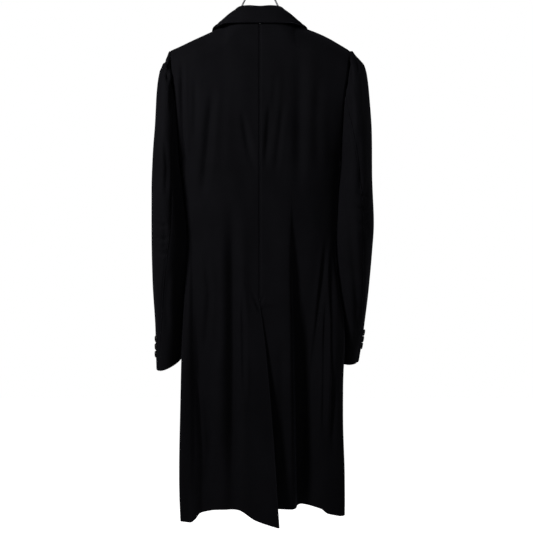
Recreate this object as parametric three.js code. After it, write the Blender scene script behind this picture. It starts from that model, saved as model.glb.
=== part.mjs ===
// A long tailored coat, hung on a wire hanger and seen with its back towards -Y.
// Millimetres, +Z up, +X to the wearer's right. The origin is where the hook hangs.
import * as THREE from "three";

// Cloth
const WALL = 2.2;
const SEAM_GAP = 0.3;
const LAYER_GAP = 0.5;

// Heights down the coat
const NECK_Z = -193;
const FRONT_TOP_Z = -195;
const TIP_Z = -247;
const UNDERARM_Z = -500;
const VENT_TOP_Z = -826;
const HEM_Z = -1292;
const HEM_BLEND_Z = -1050;

// Shoulder ridge, from the neck point out to the tip
const NECK_X = 80;
const NECK_POINT_Z = -189;
const RIDGE_SLOPE = 0.46;
const RIDGE_RUN = 125;
const RIGHT_RIDGE_RISE = 7;
const NECK_RISE = 60;
const SHOULDER_ROUND = 62;
const RIDGE_GAP = 0.0005;

// Armhole: its place across the back, and its depth as a share of the coat's
const ARMHOLE = [
  { z: -247, x: 205 },
  { z: -300, x: 200 },
  { z: -350, x: 193 },
  { z: -430, x: 187 },
  { z: -500, x: 184 },
];
const ARMHOLE_DEPTH = 0.8;
const ARMHOLE_TAPER = 3;

// Body sections: half width on each side, depth behind and before the hanger
const BODY = [
  { z: -190, left: 184, right: 184, back: 56, front: 56 },
  { z: -260, left: 184, right: 184, back: 60, front: 62 },
  { z: -350, left: 184, right: 184, back: 63, front: 72 },
  { z: -430, left: 184, right: 184, back: 64, front: 78 },
  { z: -500, left: 184, right: 184, back: 63, front: 82 },
  { z: -560, left: 178, right: 180, back: 61, front: 82 },
  { z: -620, left: 172, right: 177, back: 59, front: 80 },
  { z: -680, left: 168, right: 173.5, back: 58, front: 79 },
  { z: -760, left: 169, right: 168, back: 62, front: 82 },
  { z: -860, left: 171, right: 168, back: 70, front: 88 },
  { z: -960, left: 171, right: 168, back: 76, front: 94 },
  { z: -1080, left: 166, right: 172, back: 80, front: 98 },
  { z: -1200, left: 162, right: 174, back: 82, front: 100 },
  { z: -1300, left: 158, right: 172, back: 83, front: 102 },
];
const SQUARENESS = 2.9;

// Folds. A fold runs from `top` at z `from` to `bottom` at z `to`: millimetres across the back or front,
// or along the side from the back. It has a width on each side, and grows to its height by z `full`.
const FOLDS = [
  {
    name: "left step ridge", face: "back", top: -160, bottom: -155,
    from: -690, full: -1250, to: -1300, low: 14, high: 9, height: 22,
  },
  {
    name: "left step trough", face: "back", top: -148, bottom: -136,
    from: -690, full: -1250, to: -1300, low: 9, high: 55, height: -22,
  },
  {
    name: "left flare", face: "left", top: -18, bottom: -52,
    from: -660, full: -930, to: -1300, low: 26, high: 34, height: 9,
  },
  {
    name: "broad trough", face: "back", top: -65, bottom: -58,
    from: -560, full: -1100, to: -1300, low: 17, high: 17, height: -11,
  },
  {
    name: "vent side crease", face: "back", top: -34, bottom: -28,
    from: -800, full: -880, to: -1010, low: 6, high: 7, height: -4,
  },
  {
    name: "left soft fold", face: "back", top: -105, bottom: -125,
    from: -330, full: -480, to: -600, low: 12, high: 12, height: -4,
  },
  {
    name: "centre left pull", face: "back", top: -42, bottom: -16,
    from: -380, full: -460, to: -560, low: 8, high: 8, height: -3,
  },
  {
    name: "centre right pull", face: "back", top: 24, bottom: 16,
    from: -370, full: -450, to: -540, low: 8, high: 8, height: -3,
  },
  {
    name: "right soft trough", face: "back", top: 90, bottom: 88,
    from: -300, full: -450, to: -640, low: 15, high: 15, height: -6,
  },
  {
    name: "right step ridge", face: "back", top: 62, bottom: 70,
    from: -580, full: -760, to: -1300, low: 32, high: 8, height: 6,
  },
  {
    name: "right step trough", face: "back", top: 78, bottom: 92,
    from: -580, full: -1250, to: -1300, low: 8, high: 46, height: -34,
  },
  {
    name: "right oblique crease", face: "back", top: 152, bottom: 116,
    from: -690, full: -820, to: -1190, low: 8, high: 10, height: -6,
  },
  {
    name: "right near fold", face: "back", top: 166, bottom: 166,
    from: -700, full: -1260, to: -1300, low: 16, high: 16, height: 20,
  },
  {
    name: "right side crease", face: "back", top: 158, bottom: 150,
    from: -700, full: -860, to: -1220, low: 7, high: 6, height: -6,
  },
  {
    name: "right flare", face: "right", top: -22, bottom: -64,
    from: -640, full: -930, to: -1190, low: 24, high: 30, height: 35,
  },
  {
    name: "right low flare", face: "right", top: -50, bottom: -56,
    from: -1000, full: -1200, to: -1300, low: 30, high: 34, height: 15,
  },
  {
    name: "front left fold", face: "front", top: -92, bottom: -112,
    from: -560, full: -1200, to: -1300, low: 20, high: 26, height: 22,
  },
  {
    name: "front left trough", face: "front", top: -60, bottom: -72,
    from: -700, full: -1220, to: -1300, low: 17, high: 17, height: -14,
  },
  {
    name: "front right fold", face: "front", top: 88, bottom: 104,
    from: -600, full: -1200, to: -1300, low: 26, high: 18, height: 24,
  },
  {
    name: "front right trough", face: "front", top: 56, bottom: 66,
    from: -680, full: -1240, to: -1300, low: 15, high: 16, height: -13,
  },
  {
    name: "front left side fold", face: "front", top: -138, bottom: -150,
    from: -720, full: -1200, to: -1300, low: 12, high: 14, height: 14,
  },
  {
    name: "front right side fold", face: "front", top: 140, bottom: 150,
    from: -760, full: -1200, to: -1300, low: 14, high: 12, height: 12,
  },
];

// Vent: its edge runs off the centre as it falls, and the left back laps the right
const VENT_EDGE = [
  { z: -826, x: 0 },
  { z: -908, x: 11 },
  { z: -1083, x: 27 },
  { z: -1292, x: 42 },
];
const UNDERLAP = 46;
const VENT_LIFT = 32;
const VENT_LIFT_REACH = 74;
const UNDERLAP_REACH = 60;
const TUCK_DROP = 10;
const LAP_DROP = 70;
const TUCK = WALL + LAYER_GAP + 1;

// How far the hem hangs below its level, across the back
const BACK_HEM = [
  { x: -172, drop: 27 },
  { x: -159, drop: 28 },
  { x: -146, drop: 20 },
  { x: -134, drop: 6 },
  { x: -81, drop: -6 },
  { x: -49, drop: -7 },
  { x: -9, drop: 12 },
  { x: 40, drop: 25 },
];
const BACK_HEM_RIGHT = [
  { x: 0, drop: -11 },
  { x: 81, drop: -9 },
  { x: 92, drop: -14 },
  { x: 136, drop: -7 },
  { x: 152, drop: 4 },
  { x: 182, drop: 11 },
];
const FRONT_HEM = [
  { x: -172, drop: 27 },
  { x: -159, drop: 28 },
  { x: -146, drop: 20 },
  { x: -134, drop: 9 },
  { x: -110, drop: 10 },
  { x: -70, drop: 2 },
  { x: 0, drop: 4 },
  { x: 66, drop: 2 },
  { x: 106, drop: 12 },
  { x: 165, drop: 9 },
];

// Front edge and lapels
const OVERLAP = 24;
const BREAK_Z = -452;
const ROLL_TOP_X = 68;
const ROLL_LEAD = 1.04;
const LAP_REACH = 2.2;
const FIRST_BUTTON_DROP = 18;
const BUTTON_X = 2;
const LAPEL = [
  { share: 0, x: -24, z: -452 },
  { share: 0.2, x: 10, z: -428 },
  { share: 0.5, x: 60, z: -382 },
  { share: 0.8, x: 104, z: -330 },
  { share: 1, x: 122, z: -292 },
];

const LAPEL_START = 0.04;
const LAPEL_START_UNDER = 0.32;
const LAPEL_ROLL = 5;
const GORGE_Z = -236;

// Sleeves: outer line from the tip down, then the hang of each section
const SLEEVE_LEFT = [
  { z: -248, outer: 208 },
  { z: -262, outer: 213 },
  { z: -275, outer: 219 },
  { z: -296, outer: 230 },
  { z: -319, outer: 234 },
  { z: -360, outer: 238 },
  { z: -415, outer: 241 },
  { z: -500, outer: 246 },
  { z: -571, outer: 248 },
  { z: -680, outer: 249 },
  { z: -781, outer: 247 },
  { z: -881, outer: 242 },
  { z: -990, outer: 241 },
];
const SLEEVE_RIGHT = [
  { z: -248, outer: 213 },
  { z: -260, outer: 222 },
  { z: -270, outer: 231 },
  { z: -282, outer: 240 },
  { z: -305, outer: 246 },
  { z: -360, outer: 252 },
  { z: -430, outer: 257 },
  { z: -536, outer: 258 },
  { z: -640, outer: 261 },
  { z: -711, outer: 257 },
  { z: -798, outer: 250 },
  { z: -892, outer: 241 },
  { z: -985, outer: 228 },
];
const SLEEVE_SECTION = [
  { z: -500, left: 184.8, right: 184.8, depth: 70, forward: 0 },
  { z: -580, left: 178.2, right: 180.8, depth: 71, forward: -3 },
  { z: -680, left: 169.5, right: 176.5, depth: 69, forward: -2 },
  { z: -780, left: 174, right: 180, depth: 66, forward: 6 },
  { z: -880, left: 176, right: 181, depth: 63, forward: 20 },
  { z: -990, left: 183, right: 175, depth: 62, forward: 36 },
];
const SLEEVE_GAP = 0.8;
const CAP_DEPTH = 70;
const CAP_SHARPNESS = 4;
const CUFF_Z = -974;
const CUFF_SLANT = 0.17;
const CUFF_FORWARD = 34;
const CUFF_LEFT = { lift: 9, tilt: 0.4, x: -212 };
const CUFF_RIGHT = { lift: 19, tilt: 0, x: 205 };
const SLANT_FROM_Z = -780;
const SEAM_JOIN_Z = -352;
const HIND_SEAM_LEFT = [
  { z: -352, angle: 46 },
  { z: -478, angle: 52 },
  { z: -694, angle: 83 },
  { z: -817, angle: 106 },
  { z: -990, angle: 138 },
];
const HIND_SEAM_RIGHT = [
  { z: -352, angle: 46 },
  { z: -478, angle: 84 },
  { z: -622, angle: 108 },
  { z: -800, angle: 120 },
  { z: -990, angle: 138 },
];
const FORE_SEAM = [
  { z: -352, angle: 46 },
  { z: -600, angle: 60 },
  { z: -990, angle: 64 },
];

// Collar: the fold round the neck, and the fall's outer edge, from the centre back to the front
const COLLAR_FOLD = [
  { x: 0, y: -52, z: -156 },
  { x: 28, y: -49, z: -154 },
  { x: 50, y: -37, z: -155 },
  { x: 66, y: -12, z: -167 },
  { x: 73, y: 14, z: -178 },
  { x: 74, y: 38, z: -190 },
  { x: 71, y: 58, z: -208 },
  { x: 65, y: 68, z: -234 },
];
const COLLAR_EDGE = [
  { x: 0, y: -63, z: -194 },
  { x: 48, y: -62, z: -194 },
  { x: 78, y: -54, z: -194 },
  { x: 97, y: -32, z: -196 },
  { x: 108, y: 4, z: -192 },
  { x: 114, y: 36, z: -206 },
  { x: 117, y: 57, z: -230 },
  { x: 113, y: 65, z: -254 },
];
const COLLAR_SEAM = [
  { x: 0, y: -55.2, z: -192.7 },
  { x: 28, y: -54.9, z: -192.7 },
  { x: 50, y: -51.5, z: -192.7 },
  { x: 65, y: -43, z: -192.4 },
  { x: 76, y: -30, z: -191.5 },
  { x: 84, y: -12, z: -191.2 },
  { x: 84, y: 8, z: -192 },
  { x: 77, y: 26, z: -193 },
  { x: 68, y: 42, z: -194.6 },
];
const FALL_BULGE = 5;
const FALL_CLEARANCE = WALL + 1;
const NECK_INSIDE = 60;
const STAND_INSET = 2.1;
const STAND_WALL = 1.6;
const STAND_END = 0.14;
const FALL_LEAN = 60;

// Buttons
const FRONT_BUTTON = { radius: 12, thick: 4, pitch: 125, count: 3, seat: 0.7 };
const CUFF_BUTTON = { radius: 7.5, thick: 3.6, pitch: 17.6, count: 3, lowest: 37, turn: 24, seat: 0.25 };
const BUTTON_RIM = 0.8;

// Hanger
const WIRE = 1.9;
const HOOK_RADIUS = 22;
const HOOK_START = -30;
const HOOK_END = 270;
const HOOK_BASE_Z = -52;
const APEX_Z = -60;
const ARM_TIP_X = 182;
const BAR_DROP = 22;
const BAR_HALF = 150;
const ARM_Y = 0;
const ARM_SAG = 1;
const ARM_ROUTE = [
  { x: 20, z: -98 },
  { x: 41, z: -142 },
  { x: 54, z: -170 },
  { x: 62, z: -192 },
  { x: 77, z: -203 },
];
const ARM_REACH = [100, 125, 155];

// Colours
const CLOTH = { color: 0x141417, roughness: 0.82, metalness: 0 };
const BUTTON = { color: 0x101012, roughness: 0.35, metalness: 0 };
const STEEL = { color: 0x9a9ca0, roughness: 0.3, metalness: 1 };

// Steps of each piece's grid
const BODY_COLUMNS = 17;
const SLEEVE_COLUMNS = 9;
const UNDERSLEEVE_COLUMNS = 8;
const FINE = 160;
const TURN_STEP = 0.03;
const HEIGHT_STEP = 4;

const clamp = (value, low, high) => Math.min(high, Math.max(low, value));
const lerp = (a, b, share) => a + (b - a) * share;
const smooth = (value) => {
  const t = clamp(value, 0, 1);
  return t * t * (3 - 2 * t);
};

// Reads a column of a table at a key, smoothly between its rows (monotone cubic).
function read(table, key, column, at) {
  const rows = table[0][key] < table[table.length - 1][key] ? table : [...table].reverse();
  const last = rows.length - 1;
  if (at <= rows[0][key]) return rows[0][column];
  if (at >= rows[last][key]) return rows[last][column];
  let i = 0;
  while (rows[i + 1][key] < at) i += 1;
  const slope = (k) => (rows[k + 1][column] - rows[k][column]) / (rows[k + 1][key] - rows[k][key]);
  const tangent = (k) => {
    if (k === 0) return slope(0);
    if (k === last) return slope(last - 1);
    const before = slope(k - 1);
    const after = slope(k);
    return before * after <= 0 ? 0 : (2 * before * after) / (before + after);
  };
  const span = rows[i + 1][key] - rows[i][key];
  const t = (at - rows[i][key]) / span;
  const t2 = t * t;
  const t3 = t2 * t;
  return (2 * t3 - 3 * t2 + 1) * rows[i][column] + (t3 - 2 * t2 + t) * span * tangent(i)
    + (-2 * t3 + 3 * t2) * rows[i + 1][column] + (t3 - t2) * span * tangent(i + 1);
}

// Height of the shoulder ridge at x, and how far out the ridge is at a height. The right one is fuller.
function ridgeHeight(x) {
  const across = Math.abs(x);
  if (across < NECK_X) return NECK_POINT_Z + NECK_RISE * (1 - (across / NECK_X) ** 2);
  const share = clamp((across - NECK_X) / RIDGE_RUN, 0, 1);
  const rise = x > 0 ? 4 * RIGHT_RIDGE_RISE * share * (1 - share) : 0;
  return NECK_POINT_Z - RIDGE_SLOPE * (across - NECK_X) + rise;
}
function ridgeX(z, side) {
  const drop = NECK_POINT_Z - z;
  if (side < 0) return NECK_X + drop / RIDGE_SLOPE;
  const curve = (4 * RIGHT_RIDGE_RISE) / RIDGE_RUN;
  const slope = RIDGE_SLOPE - curve;
  return NECK_X + ((Math.sqrt(slope ** 2 + (4 * curve * drop) / RIDGE_RUN) - slope) * RIDGE_RUN) / (2 * curve);
}

// How far the shoulder has opened from its ridge, from 0 to 1.
function shoulderOpening(x, z) {
  const below = clamp((ridgeHeight(x) - z) / SHOULDER_ROUND, 0, 1);
  return Math.sqrt(1 - (1 - below) ** 2);
}

const armholeX = (z) => read(ARMHOLE, "z", "x", z);
function armholeShare(z) {
  const down = clamp((TIP_Z - z) / (TIP_Z - UNDERARM_Z), 0, 1);
  return ARMHOLE_DEPTH * Math.sqrt(1 - down ** ARMHOLE_TAPER);
}

// Half width of the body's section: above the underarm it is the width at which the section
// passes through the armhole.
function halfWidth(z, side) {
  if (z <= UNDERARM_Z) return read(BODY, "z", side < 0 ? "left" : "right", z);
  const share = armholeShare(Math.min(z, TIP_Z));
  return armholeX(Math.min(z, TIP_Z)) / (1 - share ** SQUARENESS) ** (1 / SQUARENESS);
}

// The section's point at an angle, 0 at the centre back and 180 at the centre front.
function basePoint(angle, z) {
  const side = angle < 0 ? -1 : 1;
  const sine = Math.sin(angle);
  const cosine = Math.cos(angle);
  const radius = (Math.abs(sine) ** SQUARENESS + Math.abs(cosine) ** SQUARENESS) ** (-1 / SQUARENESS);
  const x = halfWidth(z, side) * radius * sine;
  const depth = read(BODY, "z", cosine > 0 ? "back" : "front", z);
  const y = -depth * radius * cosine * shoulderOpening(x, z);
  return { x, y };
}

// Angle of the section's point at x on the back or front, or at y on a side.
function angleAt(face, across, z) {
  const rest = (share) => (1 - clamp(Math.abs(share), 0, 0.9999) ** SQUARENESS) ** (1 / SQUARENESS);
  if (face === "back" || face === "front") {
    const share = across / halfWidth(z, Math.sign(across) || 1);
    const deep = face === "back" ? rest(share) : -rest(share);
    return Math.atan2(clamp(share, -1, 1), deep);
  }
  const share = across / read(BODY, "z", across < 0 ? "back" : "front", z);
  return Math.atan2(face === "left" ? -rest(share) : rest(share), -share);
}

// Sum of the folds at a place, along the section's outward normal.
function foldHeight(angle, z) {
  const here = basePoint(angle, z);
  let height = 0;
  for (const fold of FOLDS) {
    if (z > fold.from) continue;
    const along = (fold.from - z) / (fold.from - fold.to);
    if (along > 1.3) continue;
    const centre = angleAt(fold.face, lerp(fold.top, fold.bottom, Math.min(along, 1)), z);
    const there = basePoint(centre, z);
    const towards = Math.sign(angle - centre) * (fold.face === "front" ? -1 : 1);
    const away = Math.hypot(here.x - there.x, here.y - there.y);
    const width = towards < 0 ? fold.low : fold.high;
    if (away > 3 * width || Math.abs(angle - centre) > Math.PI / 2) continue;
    let grown = smooth((fold.from - z) / (fold.from - fold.full));
    if (fold.to > HEM_Z) grown *= 1 - smooth((fold.full - z) / (fold.full - fold.to));
    height += fold.height * grown * Math.exp(-((away / width) ** 2));
  }
  return height;
}

const ventEdge = (z) => (z > VENT_TOP_Z ? 0 : read(VENT_EDGE, "z", "x", z));

// A point of the body's outer face. `lift` moves it out along the section's normal.
function bodyPoint(angle, z, lift = 0) {
  const step = 0.002;
  const { x, y } = basePoint(angle, z);
  const before = basePoint(angle - step, z);
  const after = basePoint(angle + step, z);
  const dx = after.x - before.x;
  const dy = after.y - before.y;
  const length = Math.hypot(dx, dy) || 1;
  const out = foldHeight(angle, z) + lift;
  return new THREE.Vector3(x + (dy / length) * out, y - (dx / length) * out, z);
}

// A surface's point with its outward normal. `hand` is 1, or -1 where the surface is mirrored.
function entry(pointAt, u, v, hand) {
  const du = pointAt(u + TURN_STEP, v).sub(pointAt(u - TURN_STEP, v));
  const dv = pointAt(u, v + HEIGHT_STEP).sub(pointAt(u, v - HEIGHT_STEP));
  return { point: pointAt(u, v), normal: du.cross(dv).normalize().multiplyScalar(hand) };
}

// Fills in the normals of a plain grid of points, rows running down and columns to the right.
function withNormals(points) {
  const at = (r, c) => points[clamp(r, 0, points.length - 1)][clamp(c, 0, points[0].length - 1)];
  return points.map((row, r) => row.map((point, c) => {
    const across = at(r, c + 1).clone().sub(at(r, c - 1));
    const down = at(r + 1, c).clone().sub(at(r - 1, c));
    return { point, normal: down.cross(across).normalize() };
  }));
}

// Closed wall over a grid of outer points: the inner face lies `thickness` further in.
function wall(grid, thickness = WALL) {
  const rows = grid.length;
  const columns = grid[0].length;
  const outer = grid.flat().map(({ point }) => point.toArray());
  const inner = grid.flat().map(({ point, normal }) => {
    return point.clone().addScaledVector(normal, -thickness).toArray();
  });
  const index = [];
  const inside = rows * columns;
  const quad = (a, b, c, d) => index.push(a, b, c, a, c, d);
  for (let r = 0; r < rows - 1; r += 1) {
    for (let c = 0; c < columns - 1; c += 1) {
      const a = r * columns + c;
      quad(a, a + columns, a + columns + 1, a + 1);
      quad(inside + a, inside + a + 1, inside + a + columns + 1, inside + a + columns);
    }
  }
  const edge = (a, b) => quad(a, b, inside + b, inside + a);
  for (let c = 0; c < columns - 1; c += 1) {
    edge(c, c + 1);
    edge((rows - 1) * columns + c + 1, (rows - 1) * columns + c);
  }
  for (let r = 0; r < rows - 1; r += 1) {
    edge((r + 1) * columns, r * columns);
    edge(r * columns + columns - 1, (r + 1) * columns + columns - 1);
  }
  const geometry = new THREE.BufferGeometry();
  geometry.setAttribute("position", new THREE.Float32BufferAttribute([...outer, ...inner].flat(), 3));
  geometry.setIndex(index);
  return geometry;
}

function mesh(name, geometry, finish) {
  const made = new THREE.Mesh(geometry, new THREE.MeshStandardMaterial(finish));
  made.name = name;
  return made;
}

const mirrored = (grid) => grid.map((row) => [...row].reverse());

// Spreads `count` steps evenly along the cloth of one row, between two angles.
function evenAngles(from, to, z, count, lift) {
  const points = [];
  const lengths = [0];
  for (let i = 0; i <= FINE; i += 1) {
    const angle = lerp(from, to, i / FINE);
    points.push(bodyPoint(angle, z, lift(angle, z)));
    if (i) lengths.push(lengths[i - 1] + points[i].distanceTo(points[i - 1]));
  }
  const total = lengths[FINE] - SEAM_GAP;
  const angles = [];
  let i = 0;
  for (let c = 0; c <= count; c += 1) {
    const target = SEAM_GAP / 2 + (total * c) / count;
    while (i < FINE - 1 && lengths[i + 1] < target) i += 1;
    const share = (target - lengths[i]) / (lengths[i + 1] - lengths[i]);
    angles.push(lerp(from, to, (i + share) / FINE));
  }
  return angles;
}

// Outer angle of a panel's row, measured from the centre back: ridge, armhole or side seam.
function outerAngle(z, side, face) {
  const sign = face === "back" ? 1 : -1;
  if (z > TIP_Z) {
    const share = (ridgeX(z, side) - RIDGE_GAP) / halfWidth(z, side);
    return side * Math.atan2(share, sign * (1 - share ** SQUARENESS) ** (1 / SQUARENESS));
  }
  const share = z > UNDERARM_Z ? armholeShare(z) : 0;
  return side * Math.atan2((1 - share ** SQUARENESS) ** (1 / SQUARENESS), sign * share);
}

const BODY_ROWS = [
  TIP_Z, -280, -315, -360, -410, -455, -485, UNDERARM_Z, -545, -605, -675, -750,
  VENT_TOP_Z, VENT_TOP_Z - TUCK_DROP, VENT_TOP_Z - 2 * TUCK_DROP, -910, -980,
  HEM_BLEND_Z, -1120, -1185, -1245, HEM_Z,
];
const BACK_ROWS = [NECK_Z, -205, -225, ...BODY_ROWS];
const FRONT_ROWS = [FRONT_TOP_Z, -207, -228, ...BODY_ROWS];

// Lets the hem hang uneven, as its table says.
function hang(point, table) {
  const low = smooth((HEM_BLEND_Z - point.z) / (HEM_BLEND_Z - HEM_Z));
  point.z -= low * read(table, "x", "drop", point.x);
  return point;
}

// The back's outer face beside the vent: the left edge lifts away, the right lies under it.
function backLift(side) {
  return (angle, z) => {
    if (z >= VENT_TOP_Z) return 0;
    const beside = basePoint(angle, z).x - ventEdge(z);
    if (side < 0) {
      const open = smooth((VENT_TOP_Z - z) / (VENT_TOP_Z - HEM_Z));
      return VENT_LIFT * open * Math.exp(-((beside / VENT_LIFT_REACH) ** 2));
    }
    const tucked = smooth((VENT_TOP_Z - z) / TUCK_DROP) * smooth(1 - beside / UNDERLAP_REACH);
    return -TUCK * tucked;
  };
}

function backPanel(side) {
  const lift = backLift(side);
  const table = side < 0 ? BACK_HEM : BACK_HEM_RIGHT;
  const pointAt = (angle, z) => hang(bodyPoint(angle, z, lift(angle, z)), table);
  const grid = BACK_ROWS.map((z) => {
    const lap = side < 0 ? 0 : UNDERLAP * smooth((VENT_TOP_Z - TUCK_DROP - z) / LAP_DROP);
    const from = angleAt("back", ventEdge(z) - lap, z);
    const angles = evenAngles(from, outerAngle(z, side, "back"), z, BODY_COLUMNS, lift);
    return angles.map((angle) => entry(pointAt, angle, z, 1));
  });
  return wall(side < 0 ? mirrored(grid) : grid);
}

// Front edge: along the roll line down to the break, then straight, lapped left over right.
const LAP_LIFT = WALL + LAYER_GAP;
function frontEdge(z, side) {
  const level = side < 0 ? OVERLAP : -OVERLAP;
  if (z < BREAK_Z) return level;
  const up = (z - BREAK_Z) / (FRONT_TOP_Z - BREAK_Z);
  return lerp(level, side * ROLL_TOP_X, Math.min(up * ROLL_LEAD, 1));
}

function frontLift(side) {
  return (angle, z) => {
    if (side > 0) return 0;
    const x = basePoint(angle, z).x;
    return LAP_LIFT * smooth((x + LAP_REACH * OVERLAP) / OVERLAP);
  };
}

function frontPanel(side) {
  const lift = frontLift(side);
  const pointAt = (angle, z) => hang(bodyPoint(angle, z, lift(angle, z)), FRONT_HEM);
  const grid = FRONT_ROWS.map((z) => {
    let from = angleAt("front", frontEdge(z, side), z);
    if (side * from < 0) from += side * 2 * Math.PI;
    const angles = evenAngles(from, outerAngle(z, side, "front"), z, BODY_COLUMNS, lift);
    return angles.map((angle) => entry(pointAt, angle, z, 1));
  });
  return wall(side > 0 ? mirrored(grid) : grid);
}

// One sleeve section at a height. Angles run from 0 at the inside over 90 at the back.
function sleeveSection(z, side) {
  const outer = read(side < 0 ? SLEEVE_LEFT : SLEEVE_RIGHT, "z", "outer", z);
  if (z < UNDERARM_Z) {
    const half = (outer - read(SLEEVE_SECTION, "z", side < 0 ? "left" : "right", z)) / 2;
    return {
      half,
      depth: read(SLEEVE_SECTION, "z", "depth", z),
      x: outer - half,
      y: read(SLEEVE_SECTION, "z", "forward", z),
      open: 0,
    };
  }
  const down = clamp((TIP_Z - z) / (TIP_Z - UNDERARM_Z), 0.004, 1);
  const depth = CAP_DEPTH * Math.sqrt(1 - (1 - down) ** CAP_SHARPNESS);
  const seam = basePoint(outerAngle(z, side, "back"), z);
  const open = Math.asin(clamp(-seam.y / depth, 0, 1));
  const inner = armholeX(z) + SLEEVE_GAP;
  const half = (outer - inner) / (1 + Math.cos(open));
  return { half, depth, x: outer - half, y: 0, open };
}

// A point on a sleeve: the turn starts at the inside and passes the back first.
function sleevePoint(turn, z, side) {
  const section = sleeveSection(z, side);
  const deep = Math.sin(turn) < 0 && z > UNDERARM_Z ? frontShare(z, side) : 1;
  const x = section.x - section.half * Math.cos(turn);
  const y = section.y - section.depth * Math.sin(turn) * deep;
  return new THREE.Vector3(side * x, y, z);
}

// Above the underarm the front of the section meets the front's armhole.
function frontShare(z, side) {
  const back = basePoint(outerAngle(z, side, "back"), z).y;
  const front = basePoint(outerAngle(z, side, "front"), z).y;
  const ratio = back === 0 ? 1 : -front / back;
  return lerp(ratio, 1, smooth((TIP_Z - z) / (TIP_Z - UNDERARM_Z)) ** 4);
}

const radians = (degrees) => (degrees * Math.PI) / 180;
function seamTurn(z, side, which) {
  const table = which === "hind" ? (side < 0 ? HIND_SEAM_LEFT : HIND_SEAM_RIGHT) : FORE_SEAM;
  return radians(read(table, "z", "angle", z));
}

// Turn of a piece's edge, half a seam gap from the seam itself. `away` is 1 outside it, -1 inside.
function seamEdge(z, side, which, away) {
  const turn = Math.max(seamTurn(z, side, which), sleeveSection(z, side).open);
  const { half, depth } = sleeveSection(z, side);
  return turn + (away * SEAM_GAP) / Math.hypot(half * Math.sin(turn), depth * Math.cos(turn));
}

// Shifts the lowest rows so that the cuff is cut across the forearm, lower behind, and hangs as it does.
function cuffSlant(point) {
  const low = smooth((SLANT_FROM_Z - point.z) / (SLANT_FROM_Z - CUFF_Z));
  const { lift, tilt, x } = point.x < 0 ? CUFF_LEFT : CUFF_RIGHT;
  point.z += low * (lift + tilt * (point.x - x) + CUFF_SLANT * (point.y - CUFF_FORWARD));
  return point;
}

const CAP_ROWS = [TIP_Z - 1.5, -254, -264, -277, -291, -312];
const SLEEVE_ROWS = [
  SEAM_JOIN_Z, -385, -425, -465, -488, UNDERARM_Z, -545, -600, -660, -720, SLANT_FROM_Z,
  -830, -880, -930, CUFF_Z,
];

function topsleeve(side) {
  const pointAt = (turn, z) => cuffSlant(sleevePoint(turn, z, side));
  const grid = [...CAP_ROWS, ...SLEEVE_ROWS].map((z) => {
    const { open } = sleeveSection(z, side);
    const low = z <= SEAM_JOIN_Z;
    const from = low ? seamEdge(z, side, "hind", 1) : open;
    const to = 2 * Math.PI - (low ? seamEdge(z, side, "fore", 1) : open);
    const row = [];
    for (let c = 0; c <= SLEEVE_COLUMNS; c += 1) {
      const turn = lerp(from, to, c / SLEEVE_COLUMNS);
      row.push(entry(pointAt, turn, z, side));
    }
    return row;
  });
  return wall(side < 0 ? mirrored(grid) : grid);
}

// Height at which the armhole passes a share of the seam's turn.
function armholeTop(share, side, which) {
  let high = SEAM_JOIN_Z;
  let low = UNDERARM_Z;
  for (let i = 0; i < 40; i += 1) {
    const middle = (high + low) / 2;
    if (sleeveSection(middle, side).open > share * seamTurn(middle, side, which)) high = middle;
    else low = middle;
  }
  return (high + low) / 2;
}

function undersleeve(side) {
  const pointAt = (turn, z) => cuffSlant(sleevePoint(turn, z, side));
  const grid = SLEEVE_ROWS.map((level) => {
    const down = (SEAM_JOIN_Z - level) / (SEAM_JOIN_Z - CUFF_Z);
    const row = [];
    for (let c = 0; c <= UNDERSLEEVE_COLUMNS; c += 1) {
      const across = 1 - (2 * c) / UNDERSLEEVE_COLUMNS;
      const which = across > 0 ? "hind" : "fore";
      const z = lerp(armholeTop(Math.abs(across), side, which), CUFF_Z, down);
      const turn = across * seamEdge(z, side, which, -1);
      row.push(entry(pointAt, turn, z, side));
    }
    return row;
  });
  return wall(side < 0 ? grid : mirrored(grid));
}

// The whole run of a collar line, from the front round the back to the other front.
function aroundNeck(table) {
  const half = table.map((row) => new THREE.Vector3(row.x, row.y, row.z));
  const other = half.slice(1).map((point) => new THREE.Vector3(-point.x, point.y, point.z));
  return new THREE.CatmullRomCurve3([...other.reverse(), ...half], false, "centripetal");
}

// Moves a point out of the body's outer face, the shorter way up or out.
function clearOfBody(point, gap) {
  const across = Math.abs(point.x);
  const full = read(BODY, "z", point.y < 0 ? "back" : "front", point.z);
  const depth = full * (1 - (across / halfWidth(point.z, 1)) ** SQUARENESS) ** (1 / SQUARENESS);
  const face = depth * shoulderOpening(point.x, point.z) + gap;
  const rounded = clamp(Math.abs(point.y) / (depth + gap), 0, 1);
  const top = ridgeHeight(point.x) - SHOULDER_ROUND * (1 - Math.sqrt(1 - rounded ** 2)) + gap;
  if (Math.abs(point.y) >= face || point.z >= top || across < NECK_INSIDE) return point;
  if (face - Math.abs(point.y) < top - point.z) point.y = Math.sign(point.y) * face;
  else point.z = top;
  return point;
}

function collarFall() {
  const fold = aroundNeck(COLLAR_FOLD);
  const edge = aroundNeck(COLLAR_EDGE);
  const columns = 34;
  const rows = 5;
  const grid = [];
  for (let r = 0; r <= rows; r += 1) {
    const row = [];
    for (let c = 0; c <= columns; c += 1) {
      const inner = fold.getPoint(c / columns);
      const outer = edge.getPoint(c / columns);
      const point = inner.clone().lerp(outer, r / rows);
      const bulge = FALL_BULGE * Math.sin((Math.PI * r) / rows);
      const out = new THREE.Vector3(outer.x, outer.y, FALL_LEAN).normalize();
      row.push(clearOfBody(point.addScaledVector(out, bulge), FALL_CLEARANCE));
    }
    grid.push(row);
  }
  return wall(withNormals(grid));
}

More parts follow.
